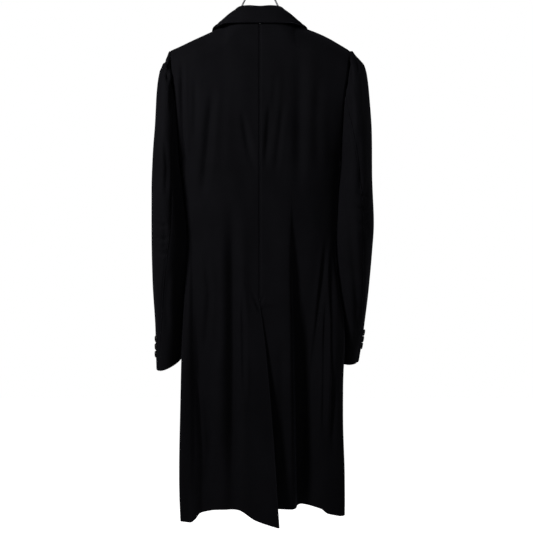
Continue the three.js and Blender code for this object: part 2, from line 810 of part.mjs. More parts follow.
function collarStand() {
  const fold = aroundNeck(COLLAR_FOLD);
  const seam = aroundNeck(COLLAR_SEAM);
  const columns = 26;
  const rows = 3;
  const grid = [];
  for (let r = 0; r <= rows; r += 1) {
    const row = [];
    for (let c = 0; c <= columns; c += 1) {
      const along = lerp(STAND_END, 1 - STAND_END, c / columns);
      const top = fold.getPoint(along);
      const bottom = seam.getPoint(along);
      const inward = new THREE.Vector3(-top.x, -top.y, 0).normalize();
      top.addScaledVector(inward, STAND_INSET).setZ(top.z - WALL);
      row.push(top.lerp(bottom, r / rows));
    }
    grid.push(row);
  }
  return wall(withNormals(grid), STAND_WALL);
}

// Lapel, turned back over the front from the roll line to its cut edge.
function lapel(side) {
  const rows = 9;
  const columns = 6;
  const start = side < 0 ? LAPEL_START : LAPEL_START_UNDER;
  const lift = frontLift(side);
  const grid = [];
  for (let r = 0; r <= rows; r += 1) {
    const up = lerp(start, 1, r / rows);
    const rollZ = lerp(BREAK_Z, GORGE_Z, up);
    const rollX = frontEdge(rollZ, side);
    const row = [];
    for (let c = 0; c <= columns; c += 1) {
      const share = c / columns;
      const x = lerp(rollX, side * read(LAPEL, "share", "x", up), share);
      const z = lerp(rollZ, read(LAPEL, "share", "z", up), share);
      const roll = LAPEL_ROLL * (1 - share) ** 2 * up;
      const out = WALL + 2 * LAYER_GAP + roll;
      row.push(entry((u, v) => bodyPoint(u, v, out + lift(u, v)), angleAt("front", x, z), z, 1));
    }
    grid.push(row);
  }
  return wall(side < 0 ? mirrored(grid) : grid);
}

// Round button with a raised rim and a dished middle.
function button({ radius, thick }) {
  const profile = [
    [0, 0], [radius * 0.86, 0], [radius, thick * 0.45], [radius * 0.9, thick],
    [radius * 0.74, thick], [radius * 0.62, thick - BUTTON_RIM], [0, thick - BUTTON_RIM],
  ];
  return new THREE.LatheGeometry(profile.map(([x, y]) => new THREE.Vector2(x, y)), 14);
}

// Seats a button on a surface point, its axis along the outward direction.
function seatButton(name, size, point, out) {
  const made = mesh(name, button(size), BUTTON);
  made.position.copy(point).addScaledVector(out, size.seat);
  made.quaternion.setFromUnitVectors(new THREE.Vector3(0, 1, 0), out);
  return made;
}

// Wire bent along a curve.
function wire(points, radius, steps) {
  const circle = new THREE.Shape();
  const sides = 8;
  for (let i = 0; i < sides; i += 1) {
    const turn = (2 * Math.PI * i) / sides;
    const x = radius * Math.cos(turn);
    const y = radius * Math.sin(turn);
    if (i) circle.lineTo(x, y);
    else circle.moveTo(x, y);
  }
  circle.closePath();
  const path = new THREE.CatmullRomCurve3(points, false, "centripetal");
  return new THREE.ExtrudeGeometry(circle, { steps, extrudePath: path });
}

function hangerHook() {
  const points = [];
  const start = radians(HOOK_START);
  const end = radians(HOOK_END);
  for (let i = 0; i <= 12; i += 1) {
    const turn = lerp(start, end, i / 12);
    const x = -HOOK_RADIUS * Math.cos(turn);
    const z = HOOK_RADIUS * Math.sin(turn) - HOOK_RADIUS;
    points.push(new THREE.Vector3(x, ARM_Y, z + WIRE));
  }
  points.splice(-2, 2, new THREE.Vector3(3, ARM_Y, -44), new THREE.Vector3(0, ARM_Y, HOOK_BASE_Z));
  points.push(new THREE.Vector3(0, ARM_Y, APEX_Z));
  return wire(points, WIRE, 30);
}

// Arm: beside the hook's stem, down into the collar, out just under the shoulder's cloth,
// and back at its tip to the bar.
function hangerArm(side) {
  const under = (x) => ridgeHeight(-x) - WALL - SEAM_GAP - WIRE - ARM_SAG;
  const beside = 2 * (WIRE + SEAM_GAP);
  const tip = under(ARM_TIP_X);
  const low = tip - BAR_DROP;
  const route = [
    { x: beside, z: HOOK_BASE_Z },
    { x: beside, z: APEX_Z },
    ...ARM_ROUTE,
    ...ARM_REACH.map((x) => ({ x, z: under(x) })),
    { x: ARM_TIP_X - 5, z: tip + 2 },
    { x: ARM_TIP_X + 2, z: lerp(tip, low, 0.33) },
    { x: ARM_TIP_X, z: lerp(tip, low, 0.75) },
    { x: ARM_TIP_X - 14, z: low },
    { x: BAR_HALF, z: low },
  ];
  return wire(route.map(({ x, z }) => new THREE.Vector3(side * x, ARM_Y, z)), WIRE, 40);
}

function hangerBar() {
  const z = ridgeHeight(-ARM_TIP_X) - WALL - SEAM_GAP - WIRE - ARM_SAG - BAR_DROP;
  const ends = [-BAR_HALF + SEAM_GAP, 0, BAR_HALF - SEAM_GAP];
  return wire(ends.map((x) => new THREE.Vector3(x, ARM_Y, z)), WIRE, 6);
}

const coat = new THREE.Group();
coat.add(mesh("back_left", backPanel(-1), CLOTH));
coat.add(mesh("back_right", backPanel(1), CLOTH));
coat.add(mesh("front_left", frontPanel(-1), CLOTH));
coat.add(mesh("front_right", frontPanel(1), CLOTH));
coat.add(mesh("topsleeve_left", topsleeve(-1), CLOTH));
coat.add(mesh("topsleeve_right", topsleeve(1), CLOTH));
coat.add(mesh("undersleeve_left", undersleeve(-1), CLOTH));
coat.add(mesh("undersleeve_right", undersleeve(1), CLOTH));
coat.add(mesh("collar_fall", collarFall(), CLOTH));
coat.add(mesh("collar_stand", collarStand(), CLOTH));
coat.add(mesh("lapel_left", lapel(-1), CLOTH));
coat.add(mesh("lapel_right", lapel(1), CLOTH));

for (let i = 0; i < FRONT_BUTTON.count; i += 1) {
  const z = BREAK_Z - FIRST_BUTTON_DROP - FRONT_BUTTON.pitch * i;
  const angle = angleAt("front", BUTTON_X, z);
  const pointAt = (u, v) => bodyPoint(u, v, LAP_LIFT);
  const { point, normal } = entry(pointAt, angle, z, 1);
  coat.add(seatButton(`front_button_${i + 1}`, FRONT_BUTTON, point, normal));
}

for (const side of [-1, 1]) {
  const word = side < 0 ? "left" : "right";
  for (let i = 0; i < CUFF_BUTTON.count; i += 1) {
    const z = CUFF_Z + CUFF_BUTTON.lowest + CUFF_BUTTON.pitch * i;
    const turn = seamTurn(z, side, "hind") + radians(CUFF_BUTTON.turn);
    const pointAt = (u, v) => cuffSlant(sleevePoint(u, v, side));
    const { point, normal } = entry(pointAt, turn, z, side);
    coat.add(seatButton(`cuff_button_${word}_${i + 1}`, CUFF_BUTTON, point, normal));
  }
}

coat.add(mesh("hanger_hook", hangerHook(), STEEL));
coat.add(mesh("hanger_arm_left", hangerArm(-1), STEEL));
coat.add(mesh("hanger_arm_right", hangerArm(1), STEEL));
coat.add(mesh("hanger_bar", hangerBar(), STEEL));

export default coat;
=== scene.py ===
"""A long tailored coat on a wire hanger, seen from its back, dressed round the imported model.

Shapes are worked out in millimetres, as in the model's source, and turned to metres when a mesh is made.
"""

import math

import bpy
import numpy as np
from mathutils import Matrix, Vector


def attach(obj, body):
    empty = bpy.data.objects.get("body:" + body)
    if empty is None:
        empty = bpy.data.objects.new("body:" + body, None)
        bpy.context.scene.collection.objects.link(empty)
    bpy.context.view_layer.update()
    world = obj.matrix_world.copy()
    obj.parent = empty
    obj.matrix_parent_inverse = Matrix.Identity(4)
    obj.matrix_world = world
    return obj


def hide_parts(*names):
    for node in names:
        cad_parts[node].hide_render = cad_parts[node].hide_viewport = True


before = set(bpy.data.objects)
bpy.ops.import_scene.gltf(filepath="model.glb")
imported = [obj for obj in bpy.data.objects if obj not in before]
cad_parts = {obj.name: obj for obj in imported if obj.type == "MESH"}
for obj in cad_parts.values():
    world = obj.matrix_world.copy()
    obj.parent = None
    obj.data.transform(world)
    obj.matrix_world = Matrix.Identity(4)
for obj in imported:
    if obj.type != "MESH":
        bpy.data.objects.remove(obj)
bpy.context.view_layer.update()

MM = 0.001


def table(columns, *rows):
    """Named columns of numbers."""
    return {name: np.array(values, float) for name, values in zip(columns.split(), zip(*rows))}


# Thickness of the shown cloth, and the walls and gaps of the solids
CLOTH = 2.0
SEAM_GAP = 0.3
LAYER_GAP = 0.5
WALL = 2.2

# Heights down the coat
NECK_Z = -193
FRONT_TOP_Z = -195
TIP_Z = -247
UNDERARM_Z = -500
VENT_TOP_Z = -826
HEM_Z = -1292
HEM_BLEND_Z = -1050

# Shoulder ridge, from the neck point out to the tip
NECK_X = 80
NECK_POINT_Z = -189
RIDGE_SLOPE = 0.46
RIDGE_RUN = 125
RIGHT_RIDGE_RISE = 7
NECK_RISE = 60
SHOULDER_ROUND = 62
RIDGE_GAP = 0.0005

# Armhole
ARMHOLE = table("z x", (-247, 205), (-300, 200), (-350, 193), (-430, 187), (-500, 184))
ARMHOLE_DEPTH = 0.8
ARMHOLE_TAPER = 3

# Body sections: half width on each side, depth behind and before the hanger
BODY = table(
    "z left right back front",
    (-190, 184, 184, 56, 56),
    (-260, 184, 184, 60, 62),
    (-350, 184, 184, 63, 72),
    (-430, 184, 184, 64, 78),
    (-500, 184, 184, 63, 82),
    (-560, 178, 180, 61, 82),
    (-620, 172, 177, 59, 80),
    (-680, 168, 173.5, 58, 79),
    (-760, 169, 168, 62, 82),
    (-860, 171, 168, 70, 88),
    (-960, 171, 168, 76, 94),
    (-1080, 166, 172, 80, 98),
    (-1200, 162, 174, 82, 100),
    (-1300, 158, 172, 83, 102),
)
SQUARENESS = 2.9
NEARLY_ONE = 0.9999

# Large folds, the same as the solids have. A fold runs from top at z start to bottom at z end, across
# the face, with its own width on each side; it reaches its height at z full.
FOLD_COLUMNS = "face top bottom start full end low high height"
FOLDS = [
    dict(zip(FOLD_COLUMNS.split(), row))
    for row in (
        ("back", -160, -155, -690, -1250, -1300, 14, 9, 22),
        ("back", -148, -136, -690, -1250, -1300, 9, 55, -22),
        ("left", -18, -52, -660, -930, -1300, 26, 34, 9),
        ("back", -65, -58, -560, -1100, -1300, 17, 17, -11),
        ("back", -34, -28, -800, -880, -1010, 6, 7, -4),
        ("back", -105, -125, -330, -480, -600, 12, 12, -4),
        ("back", -42, -16, -380, -460, -560, 8, 8, -3),
        ("back", 24, 16, -370, -450, -540, 8, 8, -3),
        ("back", 90, 88, -300, -450, -640, 15, 15, -6),
        ("back", 62, 70, -580, -760, -1300, 32, 8, 6),
        ("back", 78, 92, -580, -1250, -1300, 8, 46, -34),
        ("back", 152, 116, -690, -820, -1190, 8, 10, -6),
        ("back", 166, 166, -700, -1260, -1300, 16, 16, 20),
        ("back", 158, 150, -700, -860, -1220, 7, 6, -6),
        ("right", -22, -64, -640, -930, -1190, 24, 30, 35),
        ("right", -50, -56, -1000, -1200, -1300, 30, 34, 15),
        ("front", -92, -112, -560, -1200, -1300, 20, 26, 22),
        ("front", -60, -72, -700, -1220, -1300, 17, 17, -14),
        ("front", 88, 104, -600, -1200, -1300, 26, 18, 24),
        ("front", 56, 66, -680, -1240, -1300, 15, 16, -13),
        ("front", -138, -150, -720, -1200, -1300, 12, 14, 14),
        ("front", 140, 150, -760, -1200, -1300, 14, 12, 12),
    )
]

# Vent: its edge runs off the centre as it falls, and the left back laps the right
VENT_EDGE = table("z x", (-826, 0), (-908, 11), (-1083, 27), (-1292, 42))
UNDERLAP = 46
VENT_LIFT = 32
VENT_LIFT_REACH = 74
UNDERLAP_REACH = 60
TUCK_DROP = 10
LAP_DROP = 70
TUCK = WALL + LAYER_GAP + 1

# How far the hem hangs below its level
BACK_HEM = table(
    "x drop", (-172, 27), (-159, 28), (-146, 20), (-134, 6), (-81, -6), (-49, -7), (-9, 12), (40, 25)
)
BACK_HEM_RIGHT = table("x drop", (0, -11), (81, -9), (92, -14), (136, -7), (152, 4), (182, 11))
FRONT_HEM = table(
    "x drop", (-172, 27), (-159, 28), (-146, 20), (-134, 9), (-110, 10), (-70, 2), (0, 4), (66, 2),
    (106, 12), (165, 9),
)

# Front edge and lapels
OVERLAP = 24
BREAK_Z = -452
ROLL_TOP_X = 68
ROLL_LEAD = 1.04
LAP_REACH = 2.2
LAP_LIFT = WALL + LAYER_GAP
LAPEL = table(
    "share x z", (0, -24, -452), (0.2, 10, -428), (0.5, 60, -382), (0.8, 104, -330), (1, 122, -292)
)
LAPEL_START = 0.04
LAPEL_START_UNDER = 0.32
LAPEL_ROLL = 5
GORGE_Z = -236

# Sleeves: outer line from the tip down, then the hang of each section
SLEEVE_LEFT = table(
    "z outer", (-248, 208), (-262, 213), (-275, 219), (-296, 230), (-319, 234), (-360, 238), (-415, 241),
    (-500, 246), (-571, 248), (-680, 249), (-781, 247), (-881, 242), (-990, 241),
)
SLEEVE_RIGHT = table(
    "z outer", (-248, 213), (-260, 222), (-270, 231), (-282, 240), (-305, 246), (-360, 252), (-430, 257),
    (-536, 258), (-640, 261), (-711, 257), (-798, 250), (-892, 241), (-985, 228),
)
SLEEVE_SECTION = table(
    "z left right depth forward",
    (-500, 184.8, 184.8, 70, 0),
    (-580, 178.2, 180.8, 71, -3),
    (-680, 169.5, 176.5, 69, -2),
    (-780, 174, 180, 66, 6),
    (-880, 176, 181, 63, 20),
    (-990, 183, 175, 62, 36),
)
SLEEVE_GAP = 0.8
CAP_DEPTH = 70
CAP_SHARPNESS = 4
CAP_LEAST = 0.004
CAP_BLEND = 4
CAP_TOP_Z = TIP_Z - 1.5
CUFF_Z = -974
CUFF_SLANT = 0.17
CUFF_FORWARD = 34
CUFF_LIFT = {-1: 9, 1: 19}
CUFF_TILT = {-1: 0.4, 1: 0}
CUFF_MIDDLE_X = -212
SLANT_FROM_Z = -780
SEAM_JOIN_Z = -352
HIND_SEAM_LEFT = table("z angle", (-352, 46), (-478, 52), (-694, 83), (-817, 106), (-990, 138))
HIND_SEAM_RIGHT = table("z angle", (-352, 46), (-478, 84), (-622, 108), (-800, 120), (-990, 138))
FORE_SEAM = table("z angle", (-352, 46), (-600, 60), (-990, 64))

# Collar: the fold round the neck, and the fall's outer edge, from the centre back to the front
COLLAR_FOLD = [
    (0, -52, -156), (28, -49, -154), (50, -37, -155), (66, -12, -167),
    (73, 14, -178), (74, 38, -190), (71, 58, -208), (65, 68, -234),
]
COLLAR_EDGE = [
    (0, -63, -194), (48, -62, -194), (78, -54, -194), (97, -32, -196),
    (108, 4, -192), (114, 36, -206), (117, 57, -230), (113, 65, -254),
]
COLLAR_SEAM = [
    (0, -55.2, -192.7), (28, -54.9, -192.7), (50, -51.5, -192.7), (65, -43, -192.4), (76, -30, -191.5),
    (84, -12, -191.2), (84, 8, -192), (77, 26, -193), (68, 42, -194.6),
]
FALL_BULGE = 5
FALL_CLEARANCE = WALL + 1
FALL_LEAN = 60
NECK_INSIDE = 60
STAND_INSET = 2.1
STAND_WALL = 1.6
STAND_END = 0.14

# Buttons
FRONT_BUTTON = {"radius": 12, "thick": 4, "pitch": 125, "count": 3, "seat": 0.3}
CUFF_BUTTON = {"radius": 7.5, "thick": 3.6, "pitch": 17.6, "count": 3, "seat": 0.1}
CUFF_BUTTON_LOWEST = 37
CUFF_BUTTON_TURN = 24
FIRST_BUTTON_DROP = 18
BUTTON_X = 2

# Hanger
WIRE = 1.9
HOOK_RADIUS = 22
HOOK_START = -30
HOOK_END = 270
HOOK_BASE_Z = -52
APEX_Z = -60
ARM_TIP_X = 182
ARM_SAG = 1
ARM_ROUTE = [(20, -98), (41, -142), (54, -170), (62, -192), (77, -203)]
ARM_REACH = (100, 125, 155)
BAR_DROP = 22
BAR_HALF = 150

# Numbers


def clamp(value, low, high):
    return np.minimum(high, np.maximum(low, value))


def lerp(a, b, share):
    return a + (b - a) * share


def smooth(value):
    t = clamp(value, 0, 1)
    return t * t * (3 - 2 * t)


def read(rows, key, column, at):
    """A column of a table at a key, smoothly between its rows (monotone cubic)."""
    order = np.argsort(rows[key])
    x, y = rows[key][order], rows[column][order]
    slope = np.diff(y) / np.diff(x)
    product = slope[1:] * slope[:-1]
    total = slope[1:] + slope[:-1]
    inner = np.where(product <= 0, 0, 2 * product / np.where(total == 0, 1, total))
    tangent = np.concatenate([[slope[0]], inner, [slope[-1]]])
    at = clamp(np.asarray(at, float), x[0], x[-1])
    i = clamp(np.searchsorted(x, at, side="right") - 1, 0, len(x) - 2)
    span = x[i + 1] - x[i]
    t = (at - x[i]) / span
    t2, t3 = t * t, t * t * t
    return (
        (2 * t3 - 3 * t2 + 1) * y[i]
        + (t3 - 2 * t2 + t) * span * tangent[i]
        + (-2 * t3 + 3 * t2) * y[i + 1]
        + (t3 - t2) * span * tangent[i + 1]
    )


def by_side(side, left, right):
    return np.where(np.asarray(side) < 0, left, right)


# The coat's form, as the solids have it


def ridge_height(x):
    across = np.abs(x)
    inside = NECK_POINT_Z + NECK_RISE * (1 - (across / NECK_X) ** 2)
    share = clamp((across - NECK_X) / RIDGE_RUN, 0, 1)
    rise = np.where(x > 0, 4 * RIGHT_RIDGE_RISE * share * (1 - share), 0)
    return np.where(across < NECK_X, inside, NECK_POINT_Z - RIDGE_SLOPE * (across - NECK_X) + rise)


def ridge_x(z, side):
    """How far out the shoulder ridge is at a height. The right one is fuller."""
    drop = np.maximum(NECK_POINT_Z - z, 0)
    if side < 0:
        return NECK_X + drop / RIDGE_SLOPE
    curve = 4 * RIGHT_RIDGE_RISE / RIDGE_RUN
    slope = RIDGE_SLOPE - curve
    return NECK_X + (np.sqrt(slope**2 + 4 * curve * drop / RIDGE_RUN) - slope) * RIDGE_RUN / (2 * curve)


def shoulder_opening(x, z):
    """How far the shoulder has opened from its ridge, from 0 to 1."""
    below = clamp((ridge_height(x) - z) / SHOULDER_ROUND, 0, 1)
    return np.sqrt(1 - (1 - below) ** 2)


def armhole_share(z):
    down = clamp((TIP_Z - z) / (TIP_Z - UNDERARM_Z), 0, 1)
    return ARMHOLE_DEPTH * np.sqrt(1 - down**ARMHOLE_TAPER)


def half_width(z, side):
    low = by_side(side, read(BODY, "z", "left", z), read(BODY, "z", "right", z))
    top = np.minimum(z, TIP_Z)
    share = armhole_share(top)
    high = read(ARMHOLE, "z", "x", top) / (1 - share**SQUARENESS) ** (1 / SQUARENESS)
    return np.where(z <= UNDERARM_Z, low, high)


def base_point(angle, z):
    """The section's point at an angle, 0 at the centre back and pi at the centre front."""
    side = np.where(angle < 0, -1, 1)
    sine, cosine = np.sin(angle), np.cos(angle)
    radius = (np.abs(sine) ** SQUARENESS + np.abs(cosine) ** SQUARENESS) ** (-1 / SQUARENESS)
    x = half_width(z, side) * radius * sine
    depth = np.where(cosine > 0, read(BODY, "z", "back", z), read(BODY, "z", "front", z))
    return x, -depth * radius * cosine * shoulder_opening(x, z)


def angle_at(face, across, z):
    """Angle of the section's point at x on the back or front, or at y on a side."""

    def rest(share):
        return (1 - clamp(np.abs(share), 0, NEARLY_ONE) ** SQUARENESS) ** (1 / SQUARENESS)

    across = np.asarray(across, float) + 0 * np.asarray(z, float)
    if face in ("back", "front"):
        share = across / half_width(z, np.where(across < 0, -1, 1))
        deep = rest(share) if face == "back" else -rest(share)
        return np.arctan2(clamp(share, -1, 1), deep)
    share = across / np.where(across < 0, read(BODY, "z", "back", z), read(BODY, "z", "front", z))
    return np.arctan2(-rest(share) if face == "left" else rest(share), -share)


ANGLE_STEP = 0.002
FOLD_REACH = 3
FOLD_END = 1.3


def fold_height(angle, z):
    """Sum of the large folds at a place, along the section's outward normal."""
    x, y = base_point(angle, z)
    height = np.zeros_like(x)
    for fold in FOLDS:
        along = (fold["start"] - z) / (fold["start"] - fold["end"])
        place = lerp(fold["top"], fold["bottom"], clamp(along, 0, 1))
        centre = angle_at(fold["face"], place, z)
        cx, cy = base_point(centre, z)
        towards = np.sign(angle - centre) * (-1 if fold["face"] == "front" else 1)
        away = np.hypot(x - cx, y - cy)
        width = np.where(towards < 0, fold["low"], fold["high"])
        grown = smooth((fold["start"] - z) / (fold["start"] - fold["full"]))
        if fold["end"] > HEM_Z:
            grown = grown * (1 - smooth((fold["full"] - z) / (fold["full"] - fold["end"])))
        near = (z <= fold["start"]) & (along <= FOLD_END) & (away <= FOLD_REACH * width)
        near &= np.abs(angle - centre) <= math.pi / 2
        height += np.where(near, fold["height"] * grown * np.exp(-((away / width) ** 2)), 0)
    return height


def vent_edge(z):
    return np.where(z > VENT_TOP_Z, 0, read(VENT_EDGE, "z", "x", z))


def body_point(angle, z, lift):
    """A point of the body's outer face, moved out along the section's normal by its folds and the lift."""
    x, y = base_point(angle, z)
    before, after = base_point(angle - ANGLE_STEP, z), base_point(angle + ANGLE_STEP, z)
    dx, dy = after[0] - before[0], after[1] - before[1]
    length = np.maximum(np.hypot(dx, dy), 1e-9)
    out = fold_height(angle, z) + lift
    return np.stack([x + dy / length * out, y - dx / length * out, z + 0 * x], axis=-1)


def hang(points, hem):
    """Lets the hem hang uneven, as its table says."""
    low = smooth((HEM_BLEND_Z - points[..., 2]) / (HEM_BLEND_Z - HEM_Z))
    points[..., 2] -= low * read(hem, "x", "drop", points[..., 0])
    return points


EVEN_SAMPLES = 401
HALVINGS = 40


def even_angles(start, end, rows, count, lift):
    """Columns spread evenly along the cloth of each row, between two angles a row."""
    share = np.linspace(0, 1, EVEN_SAMPLES)
    angles = lerp(start[:, None], end[:, None], share)
    z = rows[:, None] + 0 * angles
    points = body_point(angles, z, lift(angles, z))
    steps = np.linalg.norm(np.diff(points, axis=1), axis=2)
    lengths = np.concatenate([np.zeros((len(rows), 1)), np.cumsum(steps, axis=1)], axis=1)
    made = []
    for row_angles, row_lengths in zip(angles, lengths):
        at = np.linspace(SEAM_GAP / 2, row_lengths[-1] - SEAM_GAP / 2, count + 1)
        made.append(np.interp(at, row_lengths, row_angles))
    return np.array(made)


def outer_angle(z, side, face):
    """Outer angle of a panel's row: shoulder ridge, armhole or side seam."""
    sign = 1 if face == "back" else -1
    width = half_width(z, side)
    ridge = clamp((ridge_x(z, side) - RIDGE_GAP) / width, 0, 1)
    share = np.where(z > UNDERARM_Z, armhole_share(z), 0)
    wide = np.where(z > TIP_Z, ridge, (1 - share**SQUARENESS) ** (1 / SQUARENESS))
    deep = np.where(z > TIP_Z, (1 - ridge**SQUARENESS) ** (1 / SQUARENESS), share)
    return side * np.arctan2(wide, sign * deep)


def back_lift(side):
    """The left edge of the vent lifts away, and the right lies under it."""

    def lift(angle, z):
        beside = base_point(angle, z)[0] - vent_edge(z)
        below = z < VENT_TOP_Z
        if side < 0:
            open_by = smooth((VENT_TOP_Z - z) / (VENT_TOP_Z - HEM_Z))
            return below * VENT_LIFT * open_by * np.exp(-((beside / VENT_LIFT_REACH) ** 2))
        tucked = smooth((VENT_TOP_Z - z) / TUCK_DROP)
        return -1.0 * below * TUCK * tucked * smooth(1 - beside / UNDERLAP_REACH)

    return lift


def front_edge(z, side):
    level = OVERLAP if side < 0 else -OVERLAP
    up = (z - BREAK_Z) / (FRONT_TOP_Z - BREAK_Z)
    rolled = lerp(level, side * ROLL_TOP_X, np.minimum(up * ROLL_LEAD, 1))
    return np.where(z < BREAK_Z, level, rolled)


def front_lift(side):
    def lift(angle, z):
        x = base_point(angle, z)[0]
        return LAP_LIFT * smooth((x + LAP_REACH * OVERLAP) / OVERLAP) if side < 0 else 0 * x

    return lift


def sleeve_section(z, side):
    """Half width, depth, middle x and y, and opening angle of one sleeve section, from the inside."""
    outer = read(SLEEVE_LEFT if side < 0 else SLEEVE_RIGHT, "z", "outer", z)
    low_half = (outer - read(SLEEVE_SECTION, "z", "left" if side < 0 else "right", z)) / 2
    down = clamp((TIP_Z - z) / (TIP_Z - UNDERARM_Z), CAP_LEAST, 1)
    high_depth = CAP_DEPTH * np.sqrt(1 - (1 - down) ** CAP_SHARPNESS)
    seam_y = base_point(outer_angle(z, side, "back"), z)[1]
    high_open = np.arcsin(clamp(-seam_y / high_depth, 0, 1))
    high_half = (outer - read(ARMHOLE, "z", "x", z) - SLEEVE_GAP) / (1 + np.cos(high_open))
    below = z < UNDERARM_Z
    half = np.where(below, low_half, high_half)
    depth = np.where(below, read(SLEEVE_SECTION, "z", "depth", z), high_depth)
    forward = np.where(below, read(SLEEVE_SECTION, "z", "forward", z), 0)
    return half, depth, outer - half, forward, np.where(below, 0, high_open)


def front_share(z, side):
    """Above the underarm the front of the section meets the front's armhole."""
    back = base_point(outer_angle(z, side, "back"), z)[1]
    front = base_point(outer_angle(z, side, "front"), z)[1]
    ratio = np.where(back == 0, 1, -front / np.where(back == 0, 1, back))
    return lerp(ratio, 1, smooth((TIP_Z - z) / (TIP_Z - UNDERARM_Z)) ** CAP_BLEND)


def sleeve_point(turn, z, side):
    """A point on a sleeve: the turn starts at the inside and passes the back first."""
    half, depth, middle, forward, _ = sleeve_section(z, side)
    deep = np.where((np.sin(turn) < 0) & (z > UNDERARM_Z), front_share(z, side), 1)
    x = middle - half * np.cos(turn)
    y = forward - depth * np.sin(turn) * deep
    points = np.stack([side * x, y, z + 0 * x], axis=-1)
    low = smooth((SLANT_FROM_Z - z) / (SLANT_FROM_Z - CUFF_Z))
    tilt = CUFF_TILT[side] * (points[..., 0] - CUFF_MIDDLE_X)
    points[..., 2] += low * (CUFF_LIFT[side] + tilt + CUFF_SLANT * (points[..., 1] - CUFF_FORWARD))
    return points


def seam_turn(z, side, which):
    hind = HIND_SEAM_LEFT if side < 0 else HIND_SEAM_RIGHT
    return np.radians(read(hind if which == "hind" else FORE_SEAM, "z", "angle", z))


def seam_edge(z, side, which, away):
    """Turn of a piece's edge, half a seam gap from the seam itself."""
    half, depth, _, _, opening = sleeve_section(z, side)
    turn = np.maximum(seam_turn(z, side, which), opening)
    return turn + away * SEAM_GAP / np.hypot(half * np.sin(turn), depth * np.cos(turn))


def armhole_top(share, side, which):
    """Height at which the armhole passes a share of the seam's turn."""
    high, low = SEAM_JOIN_Z + 0 * share, UNDERARM_Z + 0 * share
    for _ in range(HALVINGS):
        middle = (high + low) / 2
        above = sleeve_section(middle, side)[4] > share * seam_turn(middle, side, which)
        high, low = np.where(above, middle, high), np.where(above, low, middle)
    return (high + low) / 2


def around_neck(points, count):
    """A collar line from the front round the back to the other front, as a smooth even run."""
    half = np.array(points, float)
    other = half[1:][::-1] * (-1, 1, 1)
    line = np.concatenate([other, half])
    return catmull(line, count)


def catmull(line, count):
    """Centripetal Catmull-Rom curve through the points, sampled as the solids' curves are."""
    line = np.asarray(line, float)
    ends = np.concatenate([[2 * line[0] - line[1]], line, [2 * line[-1] - line[-2]]])
    at = np.linspace(0, 1, count) * (len(line) - 1)
    i = np.minimum(at.astype(int), len(line) - 2)
    t = (at - i)[:, None]
    a, b, c, d = ends[i], ends[i + 1], ends[i + 2], ends[i + 3]

    def gap(p, q):
        return np.maximum(np.sum((q - p) ** 2, axis=1) ** 0.25, 1e-4)[:, None]

    g0, g1, g2 = gap(a, b), gap(b, c), gap(c, d)
    t1 = ((b - a) / g0 - (c - a) / (g0 + g1) + (c - b) / g1) * g1
    t2 = ((c - b) / g1 - (d - b) / (g1 + g2) + (d - c) / g2) * g1
    return (
        (2 * t**3 - 3 * t**2 + 1) * b + (t**3 - 2 * t**2 + t) * t1
        + (-2 * t**3 + 3 * t**2) * c + (t**3 - t**2) * t2
    )


def clear_of_body(points, gap):
    """Moves points out of the body's outer face, the shorter way up or out."""
    x, y, z = (points[..., k].copy() for k in range(3))
    across = np.abs(x)
    full = np.where(y < 0, read(BODY, "z", "back", z), read(BODY, "z", "front", z))
    share = clamp(across / half_width(z, 1), 0, NEARLY_ONE)
    depth = full * (1 - share**SQUARENESS) ** (1 / SQUARENESS)
    face = depth * shoulder_opening(x, z) + gap
    rounded = clamp(np.abs(y) / (depth + gap), 0, 1)
    top = ridge_height(x) - SHOULDER_ROUND * (1 - np.sqrt(1 - rounded**2)) + gap
    inside = (np.abs(y) < face) & (z < top) & (across >= NECK_INSIDE)
    out = face - np.abs(y) < top - z
    points[..., 1] = np.where(inside & out, np.sign(y) * face, y)
    points[..., 2] = np.where(inside & ~out, top, z)
    return points


# Fine shape of the cloth

